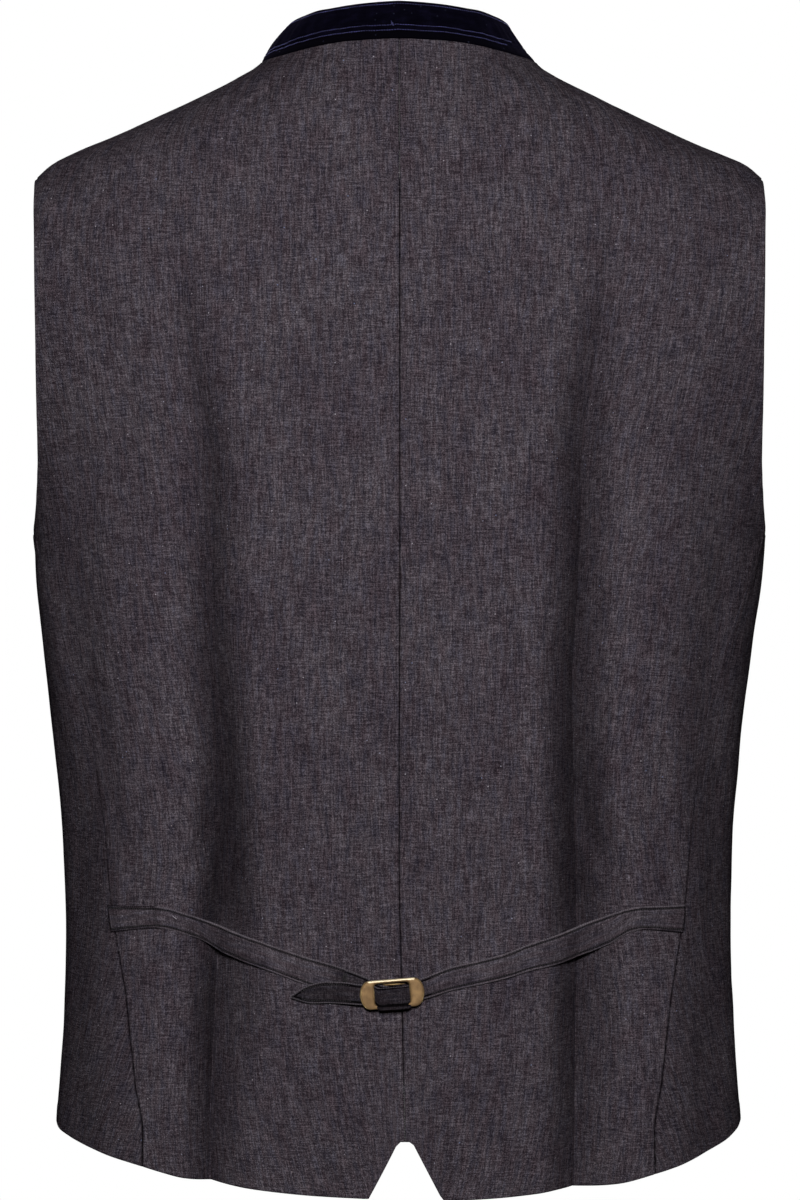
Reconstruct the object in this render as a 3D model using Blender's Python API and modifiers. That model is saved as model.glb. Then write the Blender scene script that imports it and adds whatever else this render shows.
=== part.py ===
"""A waistcoat with a stand collar and a buckled back belt, filled out as if worn.

Metres, +Z up. The wearer faces +Y, so the back with its belt faces -Y, and the wearer's right side is
at +X. The origin is where the shoulders hold the garment: on the centre plane, below the line of the
shoulder seams, level with the two side neck points.

The cloth follows a body form made of level rings. A place on the form is a turn and a height: turn 0 is
the centre back, 1 the side and the top of the shoulder, 2 the centre front, in equal lengths of cloth.
"""

import math
from collections import namedtuple

import bmesh
import bpy
import numpy as np
from mathutils import Matrix, Vector

# Cloth and seams
WALL = 0.002
SEAM_GAP = 0.0006
LAYER_GAP = 0.0003
BELT_GAP = 0.0007
STRAP_WALL = 0.0013

# Two shares this close are the same row or column
NEARLY = 1e-6

# Cut of the panels
UNDERARM_HEIGHT = -0.262
NECK_FRONT_HEIGHT = -0.057
SHOULDER_TIP_HEIGHT = -0.062
LAP = 0.018
ARMHOLE_CORNER_TURN = 1.20
ARMHOLE_CORNER_HEIGHT = -0.240
NOTCH_HEIGHT = 0.0315
NOTCH_TOP_HALF_WIDTH = 0.0037
NOTCH_HALF_WIDTH = 0.0198
COLLAR_WIDTH = 0.0250
COLLAR_WALL = 0.002
COLLAR_END_TURN = 1.985

# Buckle, seen from behind the wearer
BUCKLE_CENTRE_X = -0.0037
BUCKLE_HEIGHT = -0.5041
BUCKLE_TILT = math.radians(4.5)
FRAME_STRAIGHT = 0.0236
FRAME_WIDTH = 0.0154
FRAME_END_REACH = 0.0054
FRAME_WALL = 0.0013
WINDOW_LENGTH = 0.0186
WINDOW_WIDTH = 0.0116
FRAME_LIFT_LEFT = 0.00825
FRAME_LIFT_RIGHT = 0.0066
BAR_X = -0.0075
BAR_RADIUS = 0.0009
TACK_X = -0.0285

# Buttons
BUTTON_COUNT = 6
BUTTON_RADIUS = 0.010
BUTTON_WALL = 0.003
TOP_BUTTON_HEIGHT = -0.078
LOW_BUTTON_HEIGHT = -0.530

# The back is flatter than the rest of the ring beside the armholes, as if its ring were wider there
Ring = namedtuple("Ring", "height half_width back_half_width back front squareness")
RINGS = [
    Ring(-0.640, 0.1900, 0.1900, 0.1120, 0.1270, 2.35),
    Ring(-0.579, 0.1881, 0.1881, 0.1070, 0.1230, 2.35),
    Ring(-0.529, 0.1845, 0.1845, 0.1015, 0.1190, 2.32),
    Ring(-0.501, 0.1832, 0.1832, 0.0990, 0.1170, 2.30),
    Ring(-0.467, 0.1823, 0.1823, 0.0975, 0.1160, 2.30),
    Ring(-0.432, 0.1834, 0.1834, 0.0990, 0.1170, 2.32),
    Ring(-0.378, 0.1873, 0.1873, 0.1040, 0.1200, 2.35),
    Ring(-0.322, 0.1944, 0.1944, 0.1090, 0.1240, 2.40),
    Ring(-0.281, 0.1994, 0.1994, 0.1125, 0.1260, 2.42),
    Ring(-0.262, 0.2009, 0.2009, 0.1135, 0.1264, 2.44),
    Ring(-0.235, 0.2012, 0.2055, 0.1150, 0.1260, 2.45),
    Ring(-0.200, 0.2010, 0.2160, 0.1155, 0.1240, 2.45),
    Ring(-0.160, 0.2008, 0.2280, 0.1150, 0.1170, 2.43),
    Ring(-0.120, 0.2007, 0.2350, 0.1120, 0.1050, 2.38),
    Ring(-0.090, 0.2005, 0.2270, 0.1075, 0.0935, 2.32),
    Ring(-0.074, 0.1998, 0.2110, 0.1045, 0.0865, 2.28),
    Ring(-0.064, 0.1988, 0.1990, 0.1020, 0.0820, 2.25),
    Ring(-0.058, 0.1935, 0.1935, 0.1005, 0.0790, 2.25),
    Ring(-0.052, 0.1825, 0.1825, 0.0985, 0.0765, 2.22),
    Ring(-0.042, 0.1600, 0.1600, 0.0955, 0.0720, 2.20),
    Ring(-0.032, 0.1355, 0.1355, 0.0920, 0.0680, 2.15),
    Ring(-0.021, 0.1118, 0.1118, 0.0880, 0.0635, 2.10),
    Ring(-0.010, 0.0890, 0.0890, 0.0835, 0.0585, 2.05),
    Ring(-0.005, 0.0805, 0.0805, 0.0815, 0.0555, 2.00),
    Ring(+0.000, 0.0755, 0.0755, 0.0795, 0.0520, 2.00),
    Ring(+0.012, 0.0700, 0.0700, 0.0755, 0.0480, 2.00),
]

# The hem and the neckline, by turn. The hem hangs a little lower on the right
HemHeight = namedtuple("HemHeight", "turn left right")
HEM = [
    HemHeight(0.00, -0.6138, -0.6150),
    HemHeight(0.20, -0.6115, -0.6128),
    HemHeight(0.34, -0.6080, -0.6098),
    HemHeight(0.47, -0.6035, -0.6065),
    HemHeight(0.57, -0.5982, -0.6010),
    HemHeight(0.75, -0.5900, -0.5912),
    HemHeight(1.00, -0.5800, -0.5797),
    HemHeight(1.25, -0.5880, -0.5880),
    HemHeight(1.56, -0.6100, -0.6100),
    HemHeight(1.78, -0.6220, -0.6220),
    HemHeight(2.07, -0.5450, -0.5450),
]
EdgeHeight = namedtuple("EdgeHeight", "turn height")
NECKLINE = [
    EdgeHeight(0.00, +0.0062),
    EdgeHeight(0.50, +0.0045),
    EdgeHeight(1.00, +0.0000),
    EdgeHeight(1.25, -0.0030),
    EdgeHeight(1.50, -0.0135),
    EdgeHeight(1.75, -0.0385),
    EdgeHeight(1.90, -0.0535),
    EdgeHeight(2.00, NECK_FRONT_HEIGHT),
    EdgeHeight(2.12, -0.0580),
]

# Side edges of the panels. The side seam and the front's armhole go by how far they lie in front of the
# line of the shoulders, and the back's armhole by how far it lies from the centre plane
EdgeDepth = namedtuple("EdgeDepth", "height forward")
SIDE_SEAM = [
    EdgeDepth(-0.640, -0.0810),
    EdgeDepth(-0.580, -0.0780),
    EdgeDepth(-0.553, -0.0730),
    EdgeDepth(-0.507, -0.0655),
    EdgeDepth(-0.457, -0.0590),
    EdgeDepth(-0.376, -0.0570),
    EdgeDepth(-0.310, -0.0530),
    EdgeDepth(UNDERARM_HEIGHT, -0.0440),
    EdgeDepth(-0.255, -0.0425),
]
EdgeAside = namedtuple("EdgeAside", "height aside")
BACK_ARMHOLE_EDGE = [
    EdgeAside(UNDERARM_HEIGHT, 0.1925),
    EdgeAside(-0.257, 0.1962),
    EdgeAside(-0.250, 0.1980),
    EdgeAside(-0.238, 0.1980),
    EdgeAside(-0.213, 0.1970),
    EdgeAside(-0.185, 0.1963),
    EdgeAside(-0.155, 0.1960),
    EdgeAside(-0.125, 0.1960),
    EdgeAside(-0.100, 0.1965),
    EdgeAside(-0.083, 0.1975),
    EdgeAside(-0.072, 0.1982),
    EdgeAside(-0.066, 0.1987),
    EdgeAside(SHOULDER_TIP_HEIGHT, 0.1990),
]
FRONT_ARMHOLE_EDGE = [
    EdgeDepth(ARMHOLE_CORNER_HEIGHT, 0.0450),
    EdgeDepth(-0.225, 0.0520),
    EdgeDepth(-0.200, 0.0580),
    EdgeDepth(-0.165, 0.0600),
    EdgeDepth(-0.135, 0.0550),
    EdgeDepth(-0.108, 0.0430),
    EdgeDepth(-0.088, 0.0280),
    EdgeDepth(-0.075, 0.0140),
    EdgeDepth(-0.067, 0.0050),
    EdgeDepth(SHOULDER_TIP_HEIGHT, 0.0),
]
ARMHOLE_BOTTOM = [
    EdgeHeight(0.72, UNDERARM_HEIGHT - 0.0015),
    EdgeHeight(0.92, -0.2600),
    EdgeHeight(1.00, -0.2580),
    EdgeHeight(1.10, -0.2520),
    EdgeHeight(ARMHOLE_CORNER_TURN, ARMHOLE_CORNER_HEIGHT),
]

# The soft upright troughs that the belt draws into the back: side -1 is left, +1 right
Trough = namedtuple("Trough", "height from_centre depth spread")
TROUGHS = {
    -1: [
        Trough(-0.640, 0.1000, 0.0020, 0.018),
        Trough(-0.560, 0.0992, 0.0045, 0.017),
        Trough(-0.507, 0.0982, 0.0070, 0.016),
        Trough(-0.460, 0.0965, 0.0085, 0.016),
        Trough(-0.400, 0.0955, 0.0075, 0.017),
        Trough(-0.295, 0.0965, 0.0050, 0.018),
        Trough(-0.188, 0.1080, 0.0025, 0.019),
        Trough(-0.100, 0.1180, 0.0000, 0.020),
    ],
    +1: [
        Trough(-0.640, 0.0870, 0.0030, 0.018),
        Trough(-0.576, 0.0880, 0.0060, 0.017),
        Trough(-0.507, 0.0892, 0.0095, 0.016),
        Trough(-0.455, 0.0905, 0.0105, 0.016),
        Trough(-0.400, 0.0907, 0.0095, 0.016),
        Trough(-0.295, 0.0910, 0.0075, 0.017),
        Trough(-0.200, 0.0970, 0.0050, 0.018),
        Trough(-0.135, 0.1100, 0.0028, 0.019),
        Trough(-0.085, 0.1180, 0.0000, 0.020),
    ],
}

# How the garment hangs to the right of true, at the centre back seam and round the rest of the ring
Sway = namedtuple("Sway", "height seam rest")
SWAY = [
    Sway(-0.640, 0.0040, -0.0003),
    Sway(-0.600, 0.0035, -0.0003),
    Sway(-0.560, 0.0026, -0.0003),
    Sway(-0.500, 0.0013, -0.0008),
    Sway(-0.440, 0.0000, -0.0013),
    Sway(-0.380, 0.0000, -0.0014),
    Sway(-0.300, 0.0003, -0.0008),
    Sway(-0.200, 0.0003, +0.0003),
    Sway(+0.030, 0.0000, +0.0000),
]
SWAY_REACH = 0.085

# How far the collar leans in from upright, by turn
Lean = namedtuple("Lean", "turn degrees")
COLLAR_LEAN = [Lean(0.0, 30.0), Lean(1.0, 36.0), Lean(1.5, 28.0), Lean(2.0, 18.0)]

# The belt's halves as they lie on the back: centre line, half height, and the lift of the middle of the
# strap's wall from the back
Belt = namedtuple("Belt", "across height half_height lift")
FLAT_LIFT = BELT_GAP + STRAP_WALL / 2
BAR_LIFT = BELT_GAP + STRAP_WALL + LAYER_GAP + BAR_RADIUS
LEFT_BELT = [
    Belt(-0.1560, -0.4668, 0.0073, FLAT_LIFT),
    Belt(-0.1309, -0.4640, 0.0058, FLAT_LIFT),
    Belt(-0.1148, -0.4675, 0.0062, FLAT_LIFT),
    Belt(-0.0945, -0.4745, 0.0080, FLAT_LIFT),
    Belt(-0.0716, -0.4841, 0.0080, FLAT_LIFT),
    Belt(-0.0478, -0.4920, 0.0076, FLAT_LIFT),
    Belt(-0.0292, -0.4977, 0.0073, FLAT_LIFT),
    Belt(-0.0186, -0.5012, 0.0062, FLAT_LIFT),
    Belt(BAR_X, -0.5044, 0.0044, FLAT_LIFT),
    Belt(0.0000, -0.5052, 0.0050, FLAT_LIFT),
]
RIGHT_BELT = [
    Belt(-0.0573, -0.5064, 0.0006, 0.0030),
    Belt(-0.0470, -0.5048, 0.0050, 0.0030),
    Belt(-0.0380, -0.5038, 0.0058, 0.0032),
    Belt(-0.0292, -0.5040, 0.0059, 0.0046),
    Belt(-0.0200, -0.5048, 0.0056, 0.0056),
    Belt(-0.0140, -0.5049, 0.0052, 0.0059),
    Belt(-0.0065, -0.5043, 0.0052, 0.0072),
    Belt(-0.0015, -0.5039, 0.0053, 0.0073),
    Belt(0.0058, -0.5033, 0.0053, 0.0048),
    Belt(0.0135, -0.5014, 0.0057, 0.0040),
    Belt(0.0265, -0.4970, 0.0062, 0.0019),
    Belt(0.0400, -0.4925, 0.0063, FLAT_LIFT),
    Belt(0.0531, -0.4892, 0.0065, FLAT_LIFT),
    Belt(0.0849, -0.4791, 0.0075, FLAT_LIFT),
    Belt(0.1090, -0.4725, 0.0075, FLAT_LIFT),
    Belt(0.1309, -0.4645, 0.0057, FLAT_LIFT),
    Belt(0.1560, -0.4668, 0.0073, FLAT_LIFT),
]

# The lean of a cut across the belt, to the wearer's left of upright
CrossLean = namedtuple("CrossLean", "across degrees")
BELT_CROSS_LEAN = [
    CrossLean(-0.156, 7.8),
    CrossLean(-0.060, math.degrees(BUCKLE_TILT)),
    CrossLean(0.030, math.degrees(BUCKLE_TILT)),
    CrossLean(0.156, -3.8),
]


def eased(at, table, row, column):
    """The named column of a table at a value of its named row, on a smooth curve that never overshoots."""
    places = np.array([getattr(line, row) for line in table])
    values = np.array([getattr(line, column) for line in table])
    steps = np.diff(places)
    slopes = np.diff(values) / steps
    before, after = slopes[:-1], slopes[1:]
    same_way = before * after > 0
    inner = np.where(same_way, 2 * before * after / np.where(same_way, before + after, 1.0), 0.0)
    tangents = np.concatenate([slopes[:1], inner, slopes[-1:]])
    k = int(np.clip(np.searchsorted(places, at) - 1, 0, len(steps) - 1))
    s = min(max((at - places[k]) / steps[k], 0.0), 1.0)
    from_left = (1 + 2 * s) * values[k] + s * steps[k] * tangents[k]
    from_right = (3 - 2 * s) * values[k + 1] + (s - 1) * steps[k] * tangents[k + 1]
    return (1 - s) ** 2 * from_left + s**2 * from_right


def mix(start, end, share):
    return start + (end - start) * share


def ring_at(height):
    return Ring(height, *(eased(height, RINGS, "height", name) for name in Ring._fields[1:]))


QUARTER_ANGLES = np.linspace(0.0, math.pi / 2, 129)


def quarter(ring, at_back):
    """A quarter of a ring from its middle to its side: distances aside and outward, and length so far."""
    power = 2 / ring.squareness
    half_width = ring.back_half_width if at_back else ring.half_width
    depth = ring.back if at_back else ring.front
    aside = half_width * np.sin(QUARTER_ANGLES) ** power
    outward = depth * np.clip(np.cos(QUARTER_ANGLES), 0.0, 1.0) ** power
    length = np.concatenate([[0.0], np.cumsum(np.hypot(np.diff(aside), np.diff(outward)))])
    return aside, outward, length


def outward_at(ring, at_back, x, y):
    """The level direction away from the form at a point of a ring."""
    half_width = ring.back_half_width if at_back else ring.half_width
    depth = ring.back if at_back else ring.front
    power = ring.squareness - 1
    out_x = math.copysign((abs(x) / half_width) ** power / half_width, x)
    out_y = math.copysign((abs(y) / depth) ** power / depth, -1 if at_back else 1)
    return Vector((out_x, out_y, 0)).normalized()


def form_point(turn, height):
    """The point of the body form on the wearer's right side, and its level outward direction."""
    mirrored = turn < 0 or turn > 2
    turn = -turn if turn < 0 else 4 - turn if turn > 2 else turn
    ring = ring_at(height)
    at_back = turn <= 1
    aside, outward, length = quarter(ring, at_back)
    along = (turn if at_back else 2 - turn) * length[-1]
    x = float(np.interp(along, length, aside))
    y = float(np.interp(along, length, outward)) * (-1 if at_back else 1)
    out = outward_at(ring, at_back, x, y)
    flip = -1 if mirrored else 1
    return Vector((flip * x, y, height)), Vector((flip * out.x, out.y, 0))


def turn_of_depth(height, forward):
    """The turn at which the form's side is this far in front of the line of the shoulders."""
    at_back = forward <= 0
    _, outward, length = quarter(ring_at(height), at_back)
    share = float(np.interp(-abs(forward), -outward, length)) / length[-1]
    return share if at_back else 2 - share


def turn_of_length(length, height, at_back):
    return length / quarter(ring_at(height), at_back)[2][-1]


def sway(x, at_back, height):
    near_seam = max(0.0, 1 - (x / SWAY_REACH) ** 2) if at_back else 0.0
    return mix(eased(height, SWAY, "height", "rest"), eased(height, SWAY, "height", "seam"), near_seam)


def cloth_point(side, turn, height, inset=0.0):
    """A point of the outer face of a panel, with the troughs and the sway."""
    point, out = form_point(turn, height)
    if turn < 1:
        from_centre = eased(height, TROUGHS[side], "height", "from_centre")
        spread = eased(height, TROUGHS[side], "height", "spread")
        depth = eased(height, TROUGHS[side], "height", "depth")
        inset = inset + depth * math.exp(-(((point.x - from_centre) / spread) ** 2))
    point = point - out * inset
    return Vector((side * point.x + sway(point.x, turn < 1, height), point.y, height))


def notch_rise(from_seam):
    """How far the inverted V in the middle of the back lifts the hem."""
    share = (from_seam - NOTCH_TOP_HALF_WIDTH) / (NOTCH_HALF_WIDTH - NOTCH_TOP_HALF_WIDTH)
    share = min(max(share, 0.0), 1.0)
    return NOTCH_HEIGHT * (1 - share)


def side_seam_turn(height):
    return turn_of_depth(height, eased(height, SIDE_SEAM, "height", "forward"))


def back_edge_turn(height):
    """The back's side edge: along the side seam, up the armhole and along the shoulder seam."""
    if height < UNDERARM_HEIGHT:
        return side_seam_turn(height)
    if height > SHOULDER_TIP_HEIGHT:
        return 1.0
    aside, _, length = quarter(ring_at(height), True)
    edge = eased(height, BACK_ARMHOLE_EDGE, "height", "aside")
    return float(np.interp(edge, aside, length)) / length[-1]


def hem_height(side, turn):
    return eased(turn, HEM, "turn", "left" if side < 0 else "right")


def side_seam_foot(side):
    """The turn and the height of the side seam's lower end."""
    turn = side_seam_turn(HEM[4].left)
    return turn, hem_height(side, turn)


def back_place(side):
    """A back panel: across runs from the centre seam to the side, up from the hem to the neckline."""
    hem_outer, outer_foot = side_seam_foot(side)

    def place(across, up):
        outer_height = mix(outer_foot, 0.0, up)
        edge = back_edge_turn(outer_height) - turn_of_length(SEAM_GAP / 2, outer_height, True)
        foot = hem_height(side, mix(0.0, hem_outer, across))
        head = eased(across, NECKLINE, "turn", "height")
        height = mix(foot, head, up)
        from_seam = mix(0.0, edge, across) / turn_of_length(1.0, foot, True)
        height += notch_rise(from_seam) * (1 - up) ** 6
        start = turn_of_length(SEAM_GAP / 2, height, True)
        return cloth_point(side, mix(start, edge, across), height)

    return place


def lap_turn(height):
    return 2 + turn_of_length(LAP, height, False)


def front_neck_turn(inward):
    """Along a front's neckline, from its front edge at 0 to the shoulder seam at 1."""
    return mix(lap_turn(NECK_FRONT_HEIGHT), 1.0, inward)


def lap_inset(side, turn):
    """The right front steps in behind the left one where they lap."""
    share = min(max((turn - 1.72) / 0.16, 0.0), 1.0)
    return (WALL + SEAM_GAP) * share * share * (3 - 2 * share) if side > 0 else 0.0


def front_place(side, split_across, split_up):
    """A front panel: across runs from its front edge to the side, up from the hem to the neckline.

    Up to split_up it reaches back to the side seam. Above, it ends at the armhole, at split_across.
    """

    def waist_turn(across, height):
        if across < split_across + NEARLY:
            return mix(lap_turn(height), ARMHOLE_CORNER_TURN, across / split_across)
        edge = side_seam_turn(height) + turn_of_length(SEAM_GAP / 2, height, True)
        return mix(ARMHOLE_CORNER_TURN, edge, (across - split_across) / (1 - split_across))

    def place(across, up):
        foot = hem_height(side, waist_turn(across, HEM[4].left))
        if across > split_across + NEARLY:
            top_turn = waist_turn(across, UNDERARM_HEIGHT)
            split_height = eased(top_turn, ARMHOLE_BOTTOM, "turn", "height")
        else:
            split_height = ARMHOLE_CORNER_HEIGHT
        if up < split_up + NEARLY:
            height = mix(foot, split_height, up / split_up)
            turn = waist_turn(across, height)
        else:
            rise = (up - split_up) / (1 - split_up)
            outer_height = mix(ARMHOLE_CORNER_HEIGHT, 0.0, rise)
            forward = eased(outer_height, FRONT_ARMHOLE_EDGE, "height", "forward")
            start_edge = turn_of_depth(ARMHOLE_CORNER_HEIGHT, FRONT_ARMHOLE_EDGE[0].forward)
            edge = turn_of_depth(outer_height, forward) if forward > 0 else 1.0
            edge += turn_of_length(SEAM_GAP / 2, outer_height, False)
            edge += (ARMHOLE_CORNER_TURN - start_edge) * max(0.0, 1 - 4 * rise)
            inward = across / split_across
            head = eased(front_neck_turn(inward), NECKLINE, "turn", "height")
            height = mix(split_height, head, rise)
            turn = mix(lap_turn(mix(ARMHOLE_CORNER_HEIGHT, NECK_FRONT_HEIGHT, rise)), edge, inward)
        return cloth_point(side, turn, height, lap_inset(side, turn))

    return place


def plain_material(name, rgb, roughness, metallic=0.0):
    material = bpy.data.materials.new(name)
    material.use_nodes = True
    shader = material.node_tree.nodes["Principled BSDF"]
    shader.inputs["Base Color"].default_value = (*rgb, 1.0)
    shader.inputs["Roughness"].default_value = roughness
    shader.inputs["Metallic"].default_value = metallic
    return material


def add_object(name, data, material, collection):
    piece = bpy.data.objects.new(name, data)
    data.materials.append(material)
    collection.objects.link(piece)
    return piece


def thicken(piece, wall, offset):
    """Offset -1 lays the wall inside the drawn surface, 0 on both sides of it."""
    shell = piece.modifiers.new("wall", "SOLIDIFY")
    shell.thickness = wall
    shell.offset = offset


def sheet_mesh(name, across_steps, up_steps, place, keep=None, flipped=False):
    """A grid whose points go where place puts them. keep says which faces stay, by their middle."""
    bm = bmesh.new()
    bmesh.ops.create_grid(bm, x_segments=across_steps, y_segments=up_steps, size=0.5)
    if keep:
        middles = {face: face.calc_center_median() for face in bm.faces}
        dropped = [face for face, middle in middles.items() if not keep(middle.x + 0.5, middle.y + 0.5)]
        bmesh.ops.delete(bm, geom=dropped, context="FACES")
    for vertex in bm.verts:
        vertex.co = place(vertex.co.x + 0.5, vertex.co.y + 0.5)
    if flipped:
        bmesh.ops.reverse_faces(bm, faces=bm.faces)
    mesh = bpy.data.meshes.new(name)
    bm.to_mesh(mesh)
    bm.free()
    mesh.shade_smooth()
    return mesh


def spread_rows(share_heights):
    """Turns even grid rows into rows at these shares of the panel's height."""
    even = np.linspace(0.0, 1.0, len(share_heights))
    return lambda up: float(np.interp(up, even, share_heights))


SIDE_SEAM_ROWS = 11
SHOULDER_ROWS = 6
BACK_COLUMNS = 20
BACK_CENTRE_CROWDING = 1.35


def add_back(side, name, material, collection):
    _, foot = side_seam_foot(side)
    armhole = [line.height for line in BACK_ARMHOLE_EDGE[1:]]
    rows = np.concatenate([
        np.linspace(foot, UNDERARM_HEIGHT, SIDE_SEAM_ROWS + 1),
        armhole,
        np.linspace(SHOULDER_TIP_HEIGHT, 0.0, SHOULDER_ROWS + 1)[1:],
    ])
    up_of = spread_rows(1 - rows / foot)
    place = back_place(side)
    mesh = sheet_mesh(
        name,
        BACK_COLUMNS,
        len(rows) - 1,
        lambda across, up: place(across**BACK_CENTRE_CROWDING, up_of(up)),
        flipped=side < 0,
    )
    thicken(add_object(name, mesh, material, collection), WALL, -1)


FRONT_COLUMNS = 18
FRONT_SPLIT_COLUMN = 11


def add_front(side, name, material, collection):
    armhole = [line.height for line in FRONT_ARMHOLE_EDGE]
    shoulder = np.linspace(SHOULDER_TIP_HEIGHT, 0.0, SHOULDER_ROWS + 1)[1:]
    rises = 1 - np.concatenate([armhole, shoulder]) / ARMHOLE_CORNER_HEIGHT
    high_rows = len(rises) - 1
    split_across = FRONT_SPLIT_COLUMN / FRONT_COLUMNS
    split_up = SIDE_SEAM_ROWS / (SIDE_SEAM_ROWS + high_rows)
    low_shares = np.linspace(0.0, split_up, SIDE_SEAM_ROWS + 1)[:-1]
    up_of = spread_rows(np.concatenate([low_shares, split_up + (1 - split_up) * rises]))
    place = front_place(side, split_across, split_up)
    mesh = sheet_mesh(
        name,
        FRONT_COLUMNS,
        SIDE_SEAM_ROWS + high_rows,
        lambda across, up: place(across, up_of(up)),
        keep=lambda across, up: across < split_across or up < split_up,
        flipped=side > 0,
    )
    thicken(add_object(name, mesh, material, collection), WALL, -1)


def neck_point(turn):
    side = -1 if turn < 0 else 1
    return cloth_point(side, abs(turn), eased(abs(turn), NECKLINE, "turn", "height"))


def collar_turns():
    """The turns of the collar's columns: those where the panels' own columns meet the neckline."""
    back = [(step / BACK_COLUMNS) ** BACK_CENTRE_CROWDING for step in range(BACK_COLUMNS + 1)]
    front = [front_neck_turn(1 - step / FRONT_SPLIT_COLUMN) for step in range(1, FRONT_SPLIT_COLUMN)]
    half = back + [turn for turn in front if turn < COLLAR_END_TURN] + [COLLAR_END_TURN]
    return [-turn for turn in reversed(half[1:])] + half


def collar_point(turn, up):
    """The collar's outer face, up from the neckline to its top edge."""
    step = 0.02
    along = (neck_point(turn + step) - neck_point(turn - step)).normalized()
    level_out = Vector((along.y, -along.x, 0)).normalized()
    lean = math.radians(eased(abs(turn), COLLAR_LEAN, "turn", "degrees"))
    rise = Vector((0, 0, math.cos(lean))) - level_out * math.sin(lean)
    rise = (rise - along * rise.dot(along)).normalized()
    return neck_point(turn) + rise * mix(SEAM_GAP, COLLAR_WIDTH, up)


def add_collar(material, collection):
    turns = collar_turns()
    steps = len(turns) - 1
    mesh = sheet_mesh("collar", steps, 2, lambda across, up: collar_point(turns[round(across * steps)], up))
    thicken(add_object("collar", mesh, material, collection), COLLAR_WALL, -1)


def back_surface(x, height):
    """The back of the form under the belt, and its level outward direction."""
    ring = ring_at(height)
    aside = x - sway(x, True, height)
    inner = max(0.0, 1 - (abs(aside) / ring.back_half_width) ** ring.squareness)
    y = -ring.back * inner ** (1 / ring.squareness)
    return Vector((x, y, height)), outward_at(ring, True, aside, y)


def belt_point(table, x, lift, share):
    """A point of a strap: share runs from -1 at its lower edge to 1 at its upper one."""
    height = eased(x, table, "across", "height")
    lean = math.radians(eased(x, BELT_CROSS_LEAN, "across", "degrees"))
    reach = eased(x, table, "across", "half_height") * share
    point, out = back_surface(x - math.sin(lean) * reach, height + math.cos(lean) * reach)
    return point + out * lift


def add_strap(name, table, path, material, collection):
    """A strap along a path of (x, lift), which runs towards +X first."""

    def place(across, up):
        return belt_point(table, *path(across), 2 * up - 1)

    mesh = sheet_mesh(name, path.steps, 2, place)
    thicken(add_object(name, mesh, material, collection), STRAP_WALL, 0)


class Path:
    """Places along a strap, as (x, lift), read at an even share of its steps."""

    def __init__(self, places):
        self.places = places
        self.steps = len(places) - 1

    def __call__(self, share):
        return self.places[round(share * self.steps)]


def left_path():
    """Along the back to the tooth bar, round it, and back to the tack that holds the folded end."""
    bend = BAR_RADIUS + LAYER_GAP + STRAP_WALL / 2
    tack_lift = FLAT_LIFT + STRAP_WALL + LAYER_GAP
    flat = [(x, FLAT_LIFT) for x in np.linspace(LEFT_BELT[0].across, BAR_X, 34)]
    angles = np.linspace(-math.pi / 2, math.pi / 2, 9)[1:]
    loop = [(BAR_X + bend * math.cos(a), BAR_LIFT + bend * math.sin(a)) for a in angles]
    shares = np.linspace(0.0, 1.0, 9)[1:]
    top = BAR_LIFT + bend
    back = [(mix(BAR_X, TACK_X, s), mix(top, tack_lift, s * (1.7 - 0.7 * s))) for s in shares]
    return Path(flat + loop + back)


def right_path():
    tail, anchor = RIGHT_BELT[0].across, RIGHT_BELT[-1].across
    places = np.concatenate([np.linspace(tail, 0.040, 30), np.linspace(0.040, anchor, 18)[1:]])
    return Path([(x, eased(x, RIGHT_BELT, "across", "lift")) for x in places])


def buckle_matrix():
    """Local X runs along the belt, local Y up across it and local Z away from the back."""
    mean_lift = (FRAME_LIFT_LEFT + FRAME_LIFT_RIGHT) / 2
    point, out = back_surface(BUCKLE_CENTRE_X, BUCKLE_HEIGHT)
    length = FRAME_STRAIGHT + 2 * FRAME_END_REACH
    slope = math.asin((FRAME_LIFT_LEFT - FRAME_LIFT_RIGHT) / length)
    return (
        Matrix.Translation(point + out * mean_lift)
        @ Matrix.Rotation(math.pi / 2, 4, "X")
        @ Matrix.Rotation(BUCKLE_TILT, 4, "Z")
        @ Matrix.Rotation(slope, 4, "Y")
    )


def arc(centre, radii, start, end, steps):
    """Points on an elliptic arc, angles in degrees."""
    angles = np.radians(np.linspace(start, end, steps + 1))
    return [(centre[0] + radii[0] * math.cos(a), centre[1] + radii[1] * math.sin(a)) for a in angles]


def add_spline(curve, points, cyclic):
    spline = curve.splines.new("POLY")
    spline.points.add(len(points) - 1)
    for target, point in zip(spline.points, points):
        target.co = (*point, 0.0, 1.0) if len(point) == 2 else (*point, 1.0)
    spline.use_cyclic_u = cyclic


def add_buckle_frame(material, collection):
    half_straight, half_width = FRAME_STRAIGHT / 2, FRAME_WIDTH / 2
    radii = (FRAME_END_REACH, half_width)
    outline = arc((half_straight, 0.0), radii, -90, 90, 14) + arc((-half_straight, 0.0), radii, 90, 270, 14)
    corner = 0.0012
    in_x, in_y = WINDOW_LENGTH / 2 - corner, WINDOW_WIDTH / 2 - corner
    window = []
    for x, y, start in ((in_x, in_y, 0), (-in_x, in_y, 90), (-in_x, -in_y, 180), (in_x, -in_y, 270)):
        window += arc((x, y), (corner, corner), start, start + 90, 3)
    curve = bpy.data.curves.new("buckle_frame", "CURVE")
    curve.dimensions = "2D"
    curve.fill_mode = "BOTH"
    curve.extrude = FRAME_WALL / 2
    add_spline(curve, outline, True)
    add_spline(curve, window, True)
    frame = add_object("buckle_frame", curve, material, collection)
    frame.matrix_world = buckle_matrix()


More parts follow.
